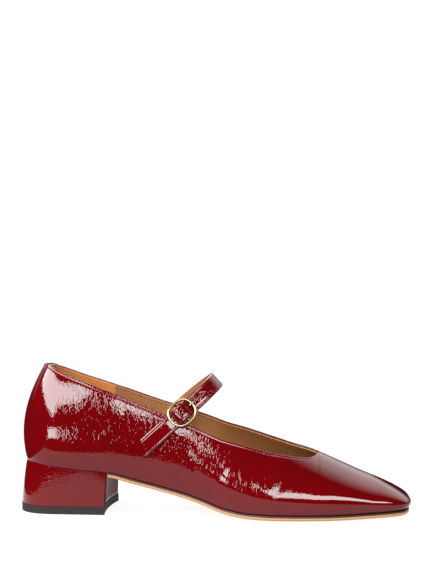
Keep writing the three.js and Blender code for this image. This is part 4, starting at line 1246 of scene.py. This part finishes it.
turn = 2 * math.pi * (np.arange(OVAL_STEPS) + 0.5) / OVAL_STEPS
oval = np.stack([WIRE_UP * bend(np.cos(turn)), np.zeros(OVAL_STEPS), WIRE_ACROSS * bend(np.sin(turn))], -1)
straight = CHAPE_WIDTH / 2 + GAP
bar_path = smooth_path([
    [0, 0, -WIRE_ACROSS],
    [0, -BAR_DROP, -straight],
    [0, -BAR_DROP, 0],
    [0, -BAR_DROP, straight],
    [0, 0, WIRE_ACROSS],
], 32)
buckle_frame = solid("buckle_frame", *wire(oval, BUCKLE_WIRE / 2, True))
combine(buckle_frame, solid("bar", *wire(bar_path, BAR_DIAMETER / 2, False)), "UNION")
turn = 2 * math.pi * np.arange(EYE_STEPS) / EYE_STEPS
eye_path = np.stack([EYE * np.cos(turn), EYE * np.sin(turn) - BAR_DROP, np.zeros(EYE_STEPS)], -1)
prong = solid("buckle_prong", *wire(eye_path, PRONG_DIAMETER / 2, True))
combine(prong, solid("shank", *wire(shank_path, PRONG_DIAMETER / 2, False)), "UNION")


def plated_gold(name):
    """Brass plated in pale gold and polished, with the faint waver of a cast face."""
    material, shader = grained(name, GOLD, 0.3, 1.6 * MM, 0.03 * MM, 2.0, 0.3)
    shader.inputs["Metallic"].default_value = 1.0
    return material


gold = plated_gold("plated_pale_gold")
for piece, name in ((buckle_frame, "buckle_frame"), (prong, "buckle_prong")):
    piece.data.shade_smooth()
    piece.data.set_sharp_from_angle(angle=math.radians(50))
    piece.data.materials.clear()
    piece.data.materials.append(gold)
    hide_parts(name)
    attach(piece, "root")

# The chape: a short strip of thin patent leather, looped round the bar and sewn inside the outer
# quarter. Its loop is slit in the middle for the prong.
CHAPE_LEATHER = 0.8 * MM
CHAPE_TUCK = 14 * MM
LOOP_SIDES = 28
bore = BAR_DIAMETER / 2 + GAP
bar_middle = at_buckle(0, -BAR_DROP, 0)
chape_half = CHAPE_WIDTH / 2
slit_half = PRONG_DIAMETER / 2 + GAP
clear = 0.6 * chape_half
chape_shares = np.linspace(-1, 1, 9)
tuck_up = -CHAPE_TUCK + (CHAPE_TUCK + clear) * np.linspace(0, 1, 18)[:, None]
leg, _, _ = on_quarter(outer_crossing, OUT, tuck_up, chape_shares * chape_half, -(WALL + GAP + CHAPE_LEATHER))
way_in = leg[-1, 4] - bar_middle
way_in = unit(way_in - BUCKLE_ACROSS * (way_in @ BUCKLE_ACROSS))
loop_end = bar_middle + way_in * (EYE + PRONG_DIAMETER / 2 + GAP + CHAPE_LEATHER)
brim = loop_end + BUCKLE_ACROSS * (chape_shares * chape_half)[:, None]
ways = np.linspace(0, 1, 7)[1:, None, None]
leg = np.concatenate([leg, leg[-1] * (1 - ways) + brim * ways])
leg_normals = grid_normals(leg, False)
chape = band("buckle_chape", leg + leg_normals * CHAPE_LEATHER, leg - leg_normals * CHAPE_LEATHER)
loop_circle = circle(way_in, np.cross(BUCKLE_ACROSS, way_in), LOOP_SIDES)
loop_faces = quads(np.arange(4 * LOOP_SIDES).reshape(4, LOOP_SIDES)).reshape(-1, 4).tolist()
outside, far = bore + CHAPE_LEATHER, chape_half - FLAT_GAP
loop_section = ((slit_half, bore), (slit_half, outside), (far, outside), (far, bore))
for side in (-1, 1):
    rings = np.array([
        bar_middle + loop_circle * radius + BUCKLE_ACROSS * across * side for across, radius in loop_section
    ])
    combine(chape, solid("loop", rings, loop_faces), "UNION")
mark(chape, "crinkle", np.full(len(chape.data.vertices), 0.4))
chape.data.materials.clear()
chape.data.materials.append(patent_leather("chape_patent_leather"))
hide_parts("buckle_chape")
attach(chape, "root")

# The floor is a sheet of white acrylic, lit from below, that ends just in front of the shoe. The room
# is dark apart from soft boxes and a white wall behind, so patent leather shows clear lights on deep
# red, and the floor's reflection runs along the bottom of the shoe.
FLOOR_LEFT, FLOOR_RIGHT = -0.2, 0.6
FLOOR_FRONT, FLOOR_BACK = -0.125, 0.6
FLOOR_GLOW = 0.88
BOX_RADIANCE = 12.5
WALL_RADIANCE = 1.9
ROOM_RADIANCE = 0.015
BOX_DISTANCE = 1.1
LOW_STRIP_AWAY = 0.489
SHOE_MIDDLE = (0, -0.03, 0.05)

floor_data = bpy.data.meshes.new("floor")
corners = [
    (FLOOR_LEFT, FLOOR_FRONT, 0), (FLOOR_RIGHT, FLOOR_FRONT, 0),
    (FLOOR_RIGHT, FLOOR_BACK, 0), (FLOOR_LEFT, FLOOR_BACK, 0),
]
floor_data.from_pydata(corners, [], [(0, 1, 2, 3)])
floor = in_scene(floor_data)
material, _, shader, _ = new_finish("backlit_white_acrylic")
shader.inputs["Base Color"].default_value = srgb("#606060")
shader.inputs["Roughness"].default_value = 0.8
shader.inputs["Specular IOR Level"].default_value = 0.0
shader.inputs["Emission Color"].default_value = srgb("#ffffff")
shader.inputs["Emission Strength"].default_value = FLOOR_GLOW
floor_data.materials.append(material)


def soft_box(name, turn, height, roll, wide, tall, away=BOX_DISTANCE):
    """A studio light that faces the shoe from so many degrees round from its front and up from it.
    Its width and height are as the shoe sees them, as shares of its distance."""
    data = bpy.data.lights.new(name, "AREA")
    data.shape = "RECTANGLE"
    data.size, data.size_y = wide * away, tall * away
    data.energy = 4 * BOX_RADIANCE * data.size * data.size_y
    light = in_scene(data)
    turn, height = math.radians(turn), math.radians(height)
    way = Vector((math.sin(turn) * math.cos(height), -math.cos(turn) * math.cos(height), math.sin(height)))
    light.location = Vector(SHOE_MIDDLE) + way * away
    rolled = Quaternion((0, 0, 1), math.radians(roll))
    light.rotation_euler = ((-way).to_track_quat("-Z", "Y") @ rolled).to_euler()


# These stand where the photograph's reflections lead back to from the shoe, and the last one only
# keeps the shoe's inner side from going dark.
soft_box("window", -56, 26, -14, 1.48, 0.42)
soft_box("low_strip", -34.4, -4, 0, 0.245, 0.105, LOW_STRIP_AWAY)
soft_box("long_strip", 25, 32, -59, 0.28, 1.45)
soft_box("back_fill", 195, 38, 0, 0.36, 0.3)

world = bpy.data.worlds.new("studio")
bpy.context.scene.world = world
world.use_nodes = True
room = world.node_tree
sky = room.nodes["Background"]
looking = room.nodes.new("ShaderNodeTexCoord").outputs["Generated"]
way = node(room, "ShaderNodeSeparateXYZ", {"Vector": looking})
# The wall behind starts above the floor and fades in from its edges.
behind = node(room, "ShaderNodeMapRange", {"Value": way.outputs["Y"], "From Min": 0.3, "From Max": 0.6})
raised = node(room, "ShaderNodeMapRange", {"Value": way.outputs["Z"], "From Min": 0.12, "From Max": 0.4})
wall = node(room, "ShaderNodeMath", {0: behind, 1: raised}, operation="MULTIPLY")
light = node(room, "ShaderNodeMath", {0: wall, 1: WALL_RADIANCE, 2: ROOM_RADIANCE}, operation="MULTIPLY_ADD")
seen = node(room, "ShaderNodeLightPath").outputs["Is Camera Ray"]
shade = node(room, "ShaderNodeMix", {"Factor": seen, "A": light, "B": 1.0}, data_type="FLOAT")
room.links.new(shade.outputs["Result"], sky.inputs["Color"])
bpy.context.scene.view_settings.view_transform = "Standard"
